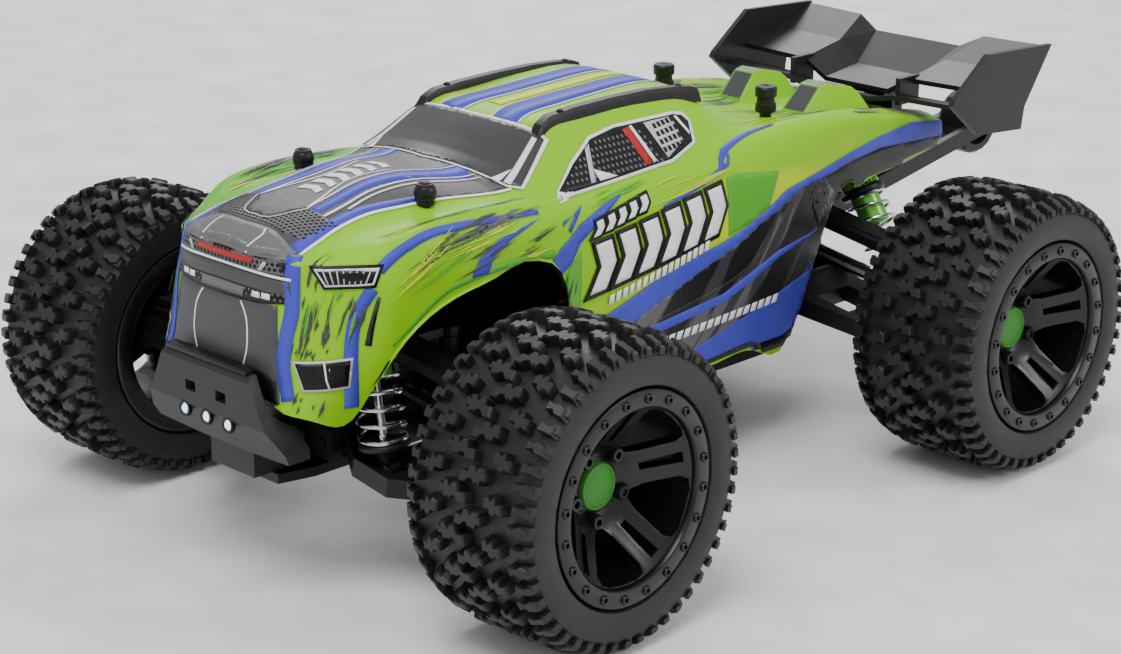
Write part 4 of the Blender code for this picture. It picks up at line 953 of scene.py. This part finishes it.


# Yellow-green strokes are painted highlight along the fenders' and the deck's crests; green strokes are
# painted shade on the sides below them.
STROKES = [
    # ink, view, middle, length, spread, lean, count
    ("hood", "side", (-88, 104.4), 26, 4.0, 8, 16),
    ("hood", "side", (-100, 101.4), 16, 3.4, 22, 9),
    ("mid", "side", (-74, 105.6), 24, 3.0, 4, 12),
    ("hood", "side", (-82, 97.4), 20, 5.0, 14, 8),
    ("hood", "side", (-62, 97), 14, 5.0, 10, 7),
    ("green", "side", (-96, 97.6), 26, 5.0, 24, 9),
    ("yellow", "side", (-104, 98), 24, 6.0, 30, 8),
    ("yellow", "side", (-80, 101.4), 30, 5.0, 8, 9),
    ("yellow", "side", (-66, 94.6), 20, 4.0, 4, 6),
    ("green", "side", (-30, 104.4), 34, 3.0, 6, 5),
    ("yellow", "side", (10, 102.4), 40, 5.0, 5, 6),
    ("hood", "side", (-49, 76), 15, 5.0, 74, 8),
    ("hood", "front", (31.4, 84.5), 15, 6.5, 88, 15),
    ("hood", "front", (38.0, 85), 13, 4.0, 82, 9),
    ("hood", "front", (29.6, 98), 9, 3.4, 86, 7),
    ("hood", "front", (33, 61.6), 6, 9.0, 80, 8),
    ("hood", "front", (31, 77.2), 4, 9.0, 84, 9),
    ("green", "front", (34.4, 88), 12, 10.0, 86, 8),
    ("mid", "top", (31, 76), 20, 3.6, 86, 9),
    ("mid", "top", (27, 93), 17, 3.4, 94, 8),
    ("mid", "top", (33, 108), 16, 4.6, 92, 9),
    ("mid", "top", (28, 136), 22, 6.0, 90, 12),
    ("mid", "top", (9, 79), 24, 9.0, 80, 14),
    ("mid", "top", (7, 137), 26, 10.0, 92, 14),
    ("green", "top", (20, 88), 26, 9.0, 88, 9),
    ("yellow", "top", (30, 60), 26, 10.0, 90, 8),
    ("hood", "top", (38.6, -96), 26, 3.6, 84, 12),
    ("mid", "top", (40, -74), 22, 3.0, 92, 8),
    ("yellow", "top", (35.6, -104), 20, 4.0, 82, 6),
    ("green", "top", (37.6, -82), 30, 4.0, 90, 6),
]


def print_strokes(art):
    """Torn grey strokes on the fenders, the nose corners and the deck, with green strokes of painted shade
    and yellow-green strokes of painted highlight.
    """
    for seed, (ink, view, middle, length, spread, lean, count) in enumerate(STROKES):
        splinters(art, ink, view, middle, length, spread, lean, count, seed)


def honeycomb(art, ink, outline, view, layer, pitch, radius, mirror=True):
    """Rows of small hexagons inside an outline."""
    edge = [Vector(pair) for pair in outline]
    low = Vector((min(p.x for p in edge), min(p.y for p in edge)))
    high = Vector((max(p.x for p in edge), max(p.y for p in edge)))
    row_pitch = pitch * 0.866
    rows = int((high.y - low.y) / row_pitch) + 1
    columns = int((high.x - low.x) / pitch) + 1
    for row in range(rows):
        for column in range(columns):
            spot = low + Vector(((column + 0.5 * (row % 2)) * pitch, row * row_pitch))
            if contains(edge, spot):
                corners = [(spot.x + radius * math.cos(a), spot.y + radius * math.sin(a))
                           for a in [math.radians(30 + 60 * side) for side in range(6)]]
                art.patch(ink, corners, view, layer, WHOLE_CELL, mirror)


def print_shell(tree, materials):
    art = Graphics(tree)
    print_hood(art)
    print_nose(art)
    print_lamps(art)
    print_windows(art)
    print_roof(art)
    print_side(art)
    print_emblems(art)
    print_strokes(art)
    art.finish(materials)


# ---------------------------------------------------------------- wheels, built about +Z as the outward axis

PITCHES = 24
BOLTS = 20
SPOKES = 5
SPOKE_STEP = 360 / SPOKES
LUG_STEP = 2 * math.pi * TYRE_RADIUS / PITCHES
LUG_HEIGHT = 3.9
CROWN_DROP = 2.6
CROWN_FLAT = 11.5
CROWN_SHOULDER = 11.0


def crown(x):
    """The radius of the lugs' tops at a distance from the tyre's middle plane."""
    return TYRE_RADIUS - CROWN_DROP * max(0.0, (abs(x) - CROWN_FLAT) / CROWN_SHOULDER) ** 2


def lug(shape, outline):
    """A tread block with a chamfered top. Its outline runs across the tyre, then along the tread."""
    middle_x = sum(x for x, _ in outline) / len(outline)
    middle_s = sum(s for _, s in outline) / len(outline)
    rings = []
    for inset, drop in ((-0.05, LUG_HEIGHT + 0.9), (0.0, 0.9), (0.05, 0.35), (0.16, 0.0)):
        ring = []
        for x, s in outline:
            px, ps = x + (middle_x - x) * inset, s + (middle_s - s) * inset
            radius, angle = crown(px) - drop, ps / TYRE_RADIUS
            ring.append(shape.verts.new((radius * math.cos(angle), radius * math.sin(angle), px)))
        rings.append(ring)
    count = len(outline)
    for low, high in zip(rings, rings[1:]):
        for index in range(count):
            other = (index + 1) % count
            shape.faces.new((low[index], low[other], high[other], high[index]))
    shape.faces.new(rings[-1])
    shape.faces.new(list(reversed(rings[0])))


def tread_blocks():
    """One pitch of the pattern. Each block is also used mirrored, half a pitch on."""
    return [
        [(-7.2, 0.2), (-5.5, 0.2), (-4.4, 1.9), (-3.3, 0.2), (-1.6, 0.2), (-1.0, 2.5), (1.6, 2.3),
         (2.2, 5.6),
         (-0.4, 5.6), (-1.4, 4.3), (-2.9, 4.0), (-4.1, 5.3), (-5.4, 4.0), (-7.2, 3.8)],
        [(8.2, 1.4), (9.9, 0.6), (10.8, 2.0), (12.4, 0.4), (12.9, 2.6), (14.8, 2.2), (15.0, 5.6),
         (13.2, 5.0),
         (12.2, 6.2), (11.0, 5.6), (10.7, 4.2), (8.4, 4.4)],
        [(4.2, 7.6), (5.6, 7.0), (6.4, 8.2), (7.8, 7.2), (8.0, 10.0), (6.4, 9.6), (6.0, 11.4), (4.2, 10.8)],
        [(16.8, 7.2), (18.6, 7.6), (20.4, 6.8), (22.3, 7.6), (22.4, 10.6), (20.0, 10.4), (19.0, 9.2),
         (17.0, 10.0)],
        [(17.9, 1.2), (20.0, 1.8), (22.2, 1.2), (22.3, 4.2), (20.0, 4.0), (17.7, 4.2)],
    ]


def side_ribs(shape):
    """Small blocks where the tread meets the side wall, on both faces."""
    for index in range(PITCHES * 2):
        angle = 2 * math.pi * (index + 0.32) / (PITCHES * 2)
        for face in (1, -1):
            corners = []
            for radius, height in ((41.2, 22.0), (43.4, 21.2), (42.8, 23.1), (41.0, 23.3)):
                for turn in (-0.026, 0.026):
                    corners.append((radius * math.cos(angle + turn), radius * math.sin(angle + turn),
                                    height * face))
            hull = [shape.verts.new(corner) for corner in corners]
            for first, second, third, fourth in ((0, 1, 3, 2), (2, 3, 5, 4), (4, 5, 7, 6), (6, 7, 1, 0)):
                shape.faces.new((hull[first], hull[second], hull[third], hull[fourth]))
            shape.faces.new((hull[0], hull[2], hull[4], hull[6]))
            shape.faces.new((hull[7], hull[5], hull[3], hull[1]))


def tyre_shape():
    """The carcass, turned, with its tread blocks and side ribs."""
    outer = [(31.7, 21.4), (32.2, 22.3), (33.4, 22.8), (36, 23.1), (38.6, 23.0), (40.4, 22.6), (41.6, 21.4),
             (42.0, 19.5), (42.2, 15), (42.5, 8), (42.6, 0)]
    inner = [(31.7, 19.0), (29.0, 17.8), (27.9, 16.9)]
    profile = inner[::-1] + outer + [(r, -h) for r, h in reversed(outer[:-1])] + [(r, -h) for r, h in inner]
    carcass = lathe(profile, 96, closed=True)
    blocks = bmesh.new()
    for pitch in range(PITCHES):
        for outline in tread_blocks():
            start = pitch * LUG_STEP
            lug(blocks, [(x, s + start) for x, s in outline])
            lug(blocks, [(-x, s + start + LUG_STEP / 2) for x, s in reversed(outline)])
    side_ribs(blocks)
    bmesh.ops.recalc_face_normals(blocks, faces=blocks.faces)
    return merged(carcass, blocks)


def spoke_cutters():
    """The slot in each spoke, and the window between each spoke and the next."""
    cutters = bmesh.new()
    slot = [(13.8, -1.15), (24.0, -1.7), (24.0, 1.7), (13.8, 1.15)]
    window = [(12.0, -1.4), (14.4, -3.9), (21.4, -8.7), (23.6, -8.5), (24.9, -5.6), (25.35, 0), (24.9, 5.6),
              (23.6, 8.5), (21.4, 8.7), (14.4, 3.9), (12.0, 1.4)]
    outlines = []
    for index in range(SPOKES):
        turn = math.radians(12 + SPOKE_STEP * index)
        outlines.append((turn, slot))
        outlines.append((turn + math.radians(SPOKE_STEP / 2), window))
    for turn, outline in outlines:
        low, high = [], []
        for radial, across in outline:
            x = radial * math.cos(turn) - across * math.sin(turn)
            y = radial * math.sin(turn) + across * math.cos(turn)
            low.append(cutters.verts.new((x, y, -2)))
            high.append(cutters.verts.new((x, y, 30)))
        loft(cutters, [low, high])
    return cutters


def rim_shape():
    """Barrel, dished spokes and bead-lock ring as one casting."""
    profile = [(0, 7.2), (7.6, 7.2), (8.2, 6.8), (9.0, 6.6), (10.6, 8.4), (12.4, 10.2), (20, 15.8),
               (24.4, 19.2),
               (25.6, 20.4), (25.8, 21.9), (26.3, 22.5), (30.4, 22.5), (31.0, 22.2), (31.3, 21.6),
               (31.3, 19.4),
               (28.4, 18.2), (27.5, 17.0), (27.5, -17.6), (31.0, -18.8), (31.3, -22.0), (30.4, -22.5),
               (25.6, -22.5), (25.2, -21.8), (25.2, 15.2), (20, 11.4), (12.0, 5.0), (8.6, 1.0), (0, 1.0)]
    body = lathe(profile, 80)
    made = solid_object("rim_stock", body)
    cutter = solid_object("rim_cutter", spoke_cutters())
    cut = made.modifiers.new("windows", "BOOLEAN")
    cut.operation = "DIFFERENCE"
    cut.object = cutter
    soften(made, 0.35, 2, 50)
    shape = bmesh.new()
    shape.from_mesh(bpy.data.meshes.new_from_object(
        made.evaluated_get(bpy.context.evaluated_depsgraph_get())))
    bpy.data.objects.remove(made)
    bpy.data.objects.remove(cutter)
    return shape


def solid_object(name, shape):
    """A helper object, for a modifier to work on or with."""
    mesh = bpy.data.meshes.new(name)
    shape.to_mesh(mesh)
    shape.free()
    obj = bpy.data.objects.new(name, mesh)
    bpy.context.scene.collection.objects.link(obj)
    return obj


def ring_of(profile, steps, count, radius, height, first_turn):
    """A turned shape, repeated at even steps round a circle."""
    shapes = []
    for index in range(count):
        angle = first_turn + 2 * math.pi * index / count
        spot = (radius * math.cos(angle), radius * math.sin(angle), height)
        shapes.append(aimed(lathe(profile, steps), spot, (0, 0, 1)))
    return merged(*shapes)


def ring_bolts():
    """The bolts of the bead-lock ring."""
    profile = [(0, 0), (1.45, 0), (1.45, 0.5), (1.2, 0.8), (0.75, 0.8), (0.75, 0.1), (0, 0.1)]
    return ring_of(profile, 10, BOLTS, 28.6, 22.4, math.pi / BOLTS)


def hub_cap():
    """A domed centre cap with a fine groove round its rim."""
    return lathe([(0, 5.4), (6.7, 5.4), (6.9, 6.0), (6.9, 8.2), (6.5, 8.8), (6.1, 8.8), (5.9, 8.5),
                  (5.6, 8.7),
                  (3.0, 9.0), (0, 9.1)], 48)


def hub_lugs():
    """Five bosses round the hub, one at the foot of each spoke, with a screw in each."""
    profile = [(0, 0), (2.3, 0), (2.3, 5.2), (1.9, 5.8), (1.1, 5.8), (1.1, 4.6), (0, 4.6)]
    return ring_of(profile, 16, SPOKES, 10.2, 4.0, math.radians(48))


def make_wheels(materials):
    """The tyre, rim, bolts and cap, each one mesh that all four wheels share."""
    shapes = {"tyre": (tyre_shape(), "tyre", 30), "rim": (rim_shape(), "rim", 35),
              "bolts": (merged(ring_bolts(), hub_lugs()), "bolt", 40), "cap": (hub_cap(), "cap", 40)}
    meshes = {}
    for name, (shape, ink, angle) in shapes.items():
        mesh = bpy.data.meshes.new(f"wheel_{name}")
        shape.transform(Matrix.Scale(MM, 4))
        shape.to_mesh(mesh)
        shape.free()
        mesh.materials.append(materials[ink])
        mesh.shade_smooth()
        mesh.set_sharp_from_angle(angle=math.radians(angle))
        meshes[name] = mesh
    for end, sign, side_name, side in CORNERS:
        place = wheel_matrix(end, sign, side)
        for name, mesh in meshes.items():
            obj = bpy.data.objects.new(f"{end}_{side_name}_{name}_detail", mesh)
            obj.matrix_world = place
            bpy.context.scene.collection.objects.link(obj)
            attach(obj, f"{end}_{side_name}_wheel")
            if name in ("tyre", "rim"):
                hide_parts(f"{end}_{side_name}_{name}")


def wheel_matrix(end, sign, side):
    """The wheel's +Z points outwards along its axle, and its +Y points up."""
    out = Vector((side, 0, 0))
    centre = Vector((side * HALF_BASE, sign * HALF_BASE, TYRE_RADIUS))
    if end == "front":
        out = Vector((side * math.cos(STEER), side * math.sin(STEER), 0))
        centre = Vector((side * KING_PIN_X, -HALF_BASE, TYRE_RADIUS)) + out * STUB_LENGTH
    up = Vector((0, 0, 1))
    turn = Matrix((up.cross(out), up, out)).transposed()
    world = (centre + Vector((0, MID_Y, 0))) * MM
    return Matrix.Translation(world) @ turn.to_4x4()


# ---------------------------------------------------------------- shocks and springs

SHOCK_TOP = {"front": (31.0, 90.0), "rear": (21.0, 84.0)}
SHOCK_FOOT = {"front": (39.5, 37.21), "rear": (52.0, 35.19)}
SHOCK_OUT = 18.5
EYE_HOLE = 1.8
EYE_HALF = 3.0
COLLAR_STEPS = 72
COIL_TURNS = 6.5
COIL_RADIUS = 7.0
COIL_TOP = 14.7
COIL_FOOT = 43.3
WIRE_RADIUS = 0.62


def shock_line(end, sign, side):
    """The top eye, the foot eye, and the direction from one to the other."""
    y = sign * (HALF_BASE + SHOCK_OUT)
    top = Vector((side * SHOCK_TOP[end][0], y, SHOCK_TOP[end][1]))
    foot = Vector((side * SHOCK_FOOT[end][0], y, SHOCK_FOOT[end][1]))
    return top, foot, (foot - top).normalized()


def ribbed_collar():
    """The adjuster collar, ribbed along the shock."""
    shape = bmesh.new()
    rings = []
    for height, drop in ((-4.5, 0.8), (-5.1, 0.0), (-10.9, 0.0), (-11.5, 0.8)):
        ring = []
        for index in range(COLLAR_STEPS):
            radius = (6.6 if index % 3 else 6.0) - drop
            angle = 2 * math.pi * index / COLLAR_STEPS
            ring.append(shape.verts.new((radius * math.cos(angle), radius * math.sin(angle), height)))
        rings.append(ring)
    loft(shape, rings)
    return shape


def eye(origin, radius):
    """A bored eye across the truck, at either end of a shock."""
    chamfer = 0.4
    ring = lathe([(EYE_HOLE, -EYE_HALF), (radius - chamfer, -EYE_HALF), (radius, -EYE_HALF + chamfer),
                  (radius, EYE_HALF - chamfer), (radius - chamfer, EYE_HALF), (EYE_HOLE, EYE_HALF)],
                 28, closed=True)
    return aimed(ring, origin, (0, 1, 0))


def coil():
    """A spring about -Z, as a tube along a helix whose ends lie flat."""
    shape = bmesh.new()
    steps = int(COIL_TURNS * 28)
    sides = 10
    rings = []
    for index in range(steps + 1):
        share = index / steps
        angle = 2 * math.pi * COIL_TURNS * share
        eased = min(max((share - 0.06) / 0.88, 0), 1)
        depth = COIL_TOP + (COIL_FOOT - COIL_TOP) * (0.04 * share + 0.96 * eased)
        centre = Vector((COIL_RADIUS * math.cos(angle), COIL_RADIUS * math.sin(angle), -depth))
        out = Vector((math.cos(angle), math.sin(angle), 0))
        turns = [2 * math.pi * side / sides for side in range(sides)]
        spokes = [out * math.cos(turn) + Vector((0, 0, 1)) * math.sin(turn) for turn in turns]
        rings.append([shape.verts.new(centre + spoke * WIRE_RADIUS) for spoke in spokes])
    loft(shape, rings)
    return shape


def make_shocks(materials):
    """Each shock's can with its collar and eye, its rod with its lower end, and its spring."""
    for end, sign, side_name, side in CORNERS:
        name = f"{end}_{side_name}"
        top, foot, down = shock_line(end, sign, side)
        length = (foot - top).length
        body = lathe([(0, -3.0), (3.0, -3.0), (3.6, -3.6), (3.6, -12), (5.0, -12), (5.0, -24.4), (4.4, -25),
                      (1.9, -25), (1.9, -14), (0, -14)], 32)
        can = merged(aimed(body, top, -down), aimed(ribbed_collar(), top, -down))
        green = piece(f"{name}_shock_can", can, [materials["anodised"]], f"{name}_shock")
        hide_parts(f"{name}_shock_body")
        seat = lathe([(5.1, -11.8), (7.2, -11.8), (7.8, -12.4), (7.8, -13.6), (7.4, -14.1), (5.1, -14.1)],
                     32, True)
        top_eye = merged(aimed(seat, top, -down), eye(top, 4.2))
        piece(f"{name}_shock_eye", top_eye, [materials["plastic"]], f"{name}_shock")
        shaft = lathe([(0, length - 22), (1.0, length - 22), (1.2, length - 22.3), (1.2, 3.4), (0, 3.4)],
                      20)
        silver = piece(f"{name}_shock_shaft", aimed(shaft, foot, -down), [materials["steel"]],
                       f"{name}_damper_rod")
        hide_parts(f"{name}_shock_rod")
        perch = lathe([(1.3, length - 43.9), (6.9, length - 43.9), (7.6, length - 44.5),
                       (7.6, length - 45.6),
                       (6.0, length - 46.4), (3.2, length - 46.9), (2.6, length - 48), (2.5, 3.0),
                       (1.3, 3.0)],
                      28, True)
        end_eye = merged(aimed(perch, foot, -down), eye(foot, 3.8))
        lower = piece(f"{name}_shock_end", end_eye, [materials["plastic"]], f"{name}_damper_rod")
        wire = piece(f"{name}_coil", aimed(coil(), top, -down), [materials["wire"]], f"{name}_shock")
        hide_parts(f"{name}_spring")
        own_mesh(wire)


# ---------------------------------------------------------------- small fittings

# Across and up, as a share of the rail's height
RAIL_SECTION = [(-2.3, 0), (-2.3, 0.7), (-1.7, 1), (1.5, 1), (2.2, 0.7), (2.4, 0)]


def make_roof_rails(materials):
    """A flat-sided rail along each edge of the roof, with a raked foot at its front."""
    stations = [(25.9, -42.6, 120.4, 1.2), (25.6, -40.6, 121.0, 3.6), (25.2, -36.5, 121.6, 5.0),
                (25.0, -26, 122.6, 4.9), (25.0, -10, 123.4, 4.4), (25.2, 6, 123.4, 4.2),
                (25.8, 18, 122.2, 4.5),
                (26.4, 25.5, 120.9, 4.9), (26.6, 28.4, 120.3, 4.4), (26.6, 29.2, 120.2, 1.5)]
    for side_name, side in SIDES:
        rail = bmesh.new()
        rings = []
        for x, y, z, tall in stations:
            section = [(side * (x + across), y, z + up * tall) for across, up in RAIL_SECTION]
            rings.append([rail.verts.new(point) for point in section])
        loft(rail, rings)
        screws = [hex_bolt((side * 25.3, y, z), (0, 0, 1), 1.1, 0.6)
                  for y, z in ((-31, 127.0), (22, 126.1))]
        obj = piece(f"{side_name}_roof_rail", merged(rail, *screws), [materials["plastic"]], "chassis",
                    smooth=28)
        soften(obj, 0.35 * MM, 2, 30)


def make_deck_humps(materials):
    """Two faceted humps behind the rear posts, with grey panels on their tops."""
    stations = [(92.6, 103.4, 4.8, 6.6, 101.5), (100.8, 111.6, 4.4, 7.6, 101.5),
                (104.4, 112.2, 4.4, 7.8, 101),
                (116.6, 109.2, 4.4, 7.8, 100), (119.6, 107.0, 4.8, 7.6, 99.5),
                (124.6, 101.2, 5.0, 7.2, 98.5)]
    for side_name, side in SIDES:
        hump = bmesh.new()
        rings = []
        for y, top, half_top, half_base, base in stations:
            middle = 14.4 + (y - 94) * 0.07
            corners = [(-half_base, base), (-half_top, top), (half_top, top), (half_base, base)]
            rings.append([hump.verts.new((side * (middle + x), y, z)) for x, z in corners])
        loft(hump, rings)
        panels = [face for face in hump.faces if face.normal.z > 0.5 and abs(face.normal.x) < 0.3]
        inset = bmesh.ops.inset_individual(hump, faces=panels, thickness=0.9)
        for face in panels:
            face.material_index = 1
        for face in inset["faces"]:
            face.material_index = 2
        obj = piece(f"{side_name}_deck_hump", hump, [materials["lime"], materials["hood"],
                                                     materials["green"]],
                    "chassis", smooth=25)
        soften(obj, 0.5 * MM, 3, 18)


def make_post_knobs(materials):
    """The front posts' round knobs and the rear posts' grooved ones."""
    for side_name, side in SIDES:
        front = lathe([(0, 109.8), (2.7, 109.8), (2.9, 110.2), (2.7, 111.0), (2.9, 111.6), (3.3, 112.6),
                       (3.35, 113.6), (3.0, 114.8), (2.3, 115.8), (1.2, 116.5), (0, 116.7)], 28)
        front.transform(Matrix.Translation((side * 27.5, -88.4, 0)))
        rear = lathe([(0, 109.4), (3.4, 109.4), (3.6, 110), (3.4, 112.2), (2.2, 113.2), (2.2, 113.8),
                      (3.6, 114.6),
                      (3.7, 117.4), (3.2, 118), (0, 118)], 24)
        rear.transform(Matrix.Translation((side * 23, 68, 0)))
        obj = piece(f"{side_name}_post_knobs", merged(front, rear), [materials["plastic"]], "chassis")


LAMP_AIM = (0, -1, 0.1)


def make_bumper_lamps(materials):
    """Three ringed lenses in a row on the bumper, and the dark lip along its top."""
    for index, x in enumerate((-10, 0, 10)):
        lens = lathe([(0, 0), (1.7, 0), (1.7, 0.6), (1.2, 1.3), (0, 1.6)], 24)
        obj = piece(f"bumper_lamp_{index}", aimed(lens, (x, -148.8, 53), LAMP_AIM),
                    [materials["lens"]], "chassis")
        hood = lathe([(1.8, 0), (2.5, 0), (2.5, 1.0), (2.3, 1.2), (1.8, 1.2)], 24, closed=True)
        ring = piece(f"bumper_lamp_ring_{index}", aimed(hood, (x, -149.0, 53), LAMP_AIM),
                     [materials["black"]], "chassis")
    lip = block((-18.5, -149.4, 69.8), (18.5, -145.6, 71.6), 0.5)
    piece("bumper_lip", lip, [materials["black"]], "chassis")


def make_screws(materials):
    """Socket screws on the gearboxes, the towers and the shocks' feet."""
    for end, sign in (("front", -1), ("rear", 1)):
        screws = []
        for side in (1, -1):
            for z in (52, 64):
                screws.append(hex_bolt((side * 7.5, sign * (HALF_BASE + 13.8), z), (0, sign, 0), 1.4, 1.0))
            top_x, top_z = SHOCK_TOP[end]
            screws.append(hex_bolt((side * top_x, sign * (HALF_BASE + 22.8), top_z), (0, sign, 0),
                                   2.6, 1.6))
        piece(f"{end}_screws", merged(*screws), [materials["bolt"]], "chassis")
    for end, sign, side_name, side in CORNERS:
        foot = shock_line(end, sign, side)[1]
        head = hex_bolt(foot + Vector((0, sign * 3.8, 0)), (0, sign, 0), 2.4, 1.6)
        obj = piece(f"{end}_{side_name}_foot_screw", head, [materials["bolt"]], f"{end}_{side_name}_arm")


# ---------------------------------------------------------------- CAD nodes that stay

NODE_INKS = {
    "chassis_tray": "plastic", "receiver_unit": "plastic", "steering_servo": "plastic",
             "servo_horn": "plastic",
    "steering_link": "plastic", "wheelie_bar": "plastic", "wheelie_wheel": "plastic",
             "front_bumper": "bumper",
    "rear_wing": "wing", "battery_pack": "wrap", "drive_motor": "can", "pinion_gear": "brass",
    "spur_gear_shaft": "nylon", "left_tie_rod": "steel", "right_tie_rod": "steel",
}
SOFT_EDGE = {"front_bumper": 0.6, "rear_wing": 0.35, "wheelie_bar": 0.5, "chassis_tray": 0.6}


def dress_nodes(materials):
    """A material and softened edges for each CAD node that no piece replaces."""
    for name, obj in frame["nodes"].items():
        if obj.hide_render:
            continue
        ink = NODE_INKS.get(name, "steel" if name.endswith("drive_shaft") else "plastic")
        obj.data.materials.clear()
        obj.data.materials.append(materials[ink])
        soften(obj, SOFT_EDGE.get(name, 0.25) * MM, 2, 40)


def main():
    materials = make_materials()
    make_camera()
    make_studio()
    tree = make_shell(materials)
    print_shell(tree, materials)
    make_wheels(materials)
    make_shocks(materials)
    make_roof_rails(materials)
    make_deck_humps(materials)
    make_post_knobs(materials)
    make_bumper_lamps(materials)
    make_screws(materials)
    dress_nodes(materials)


main()
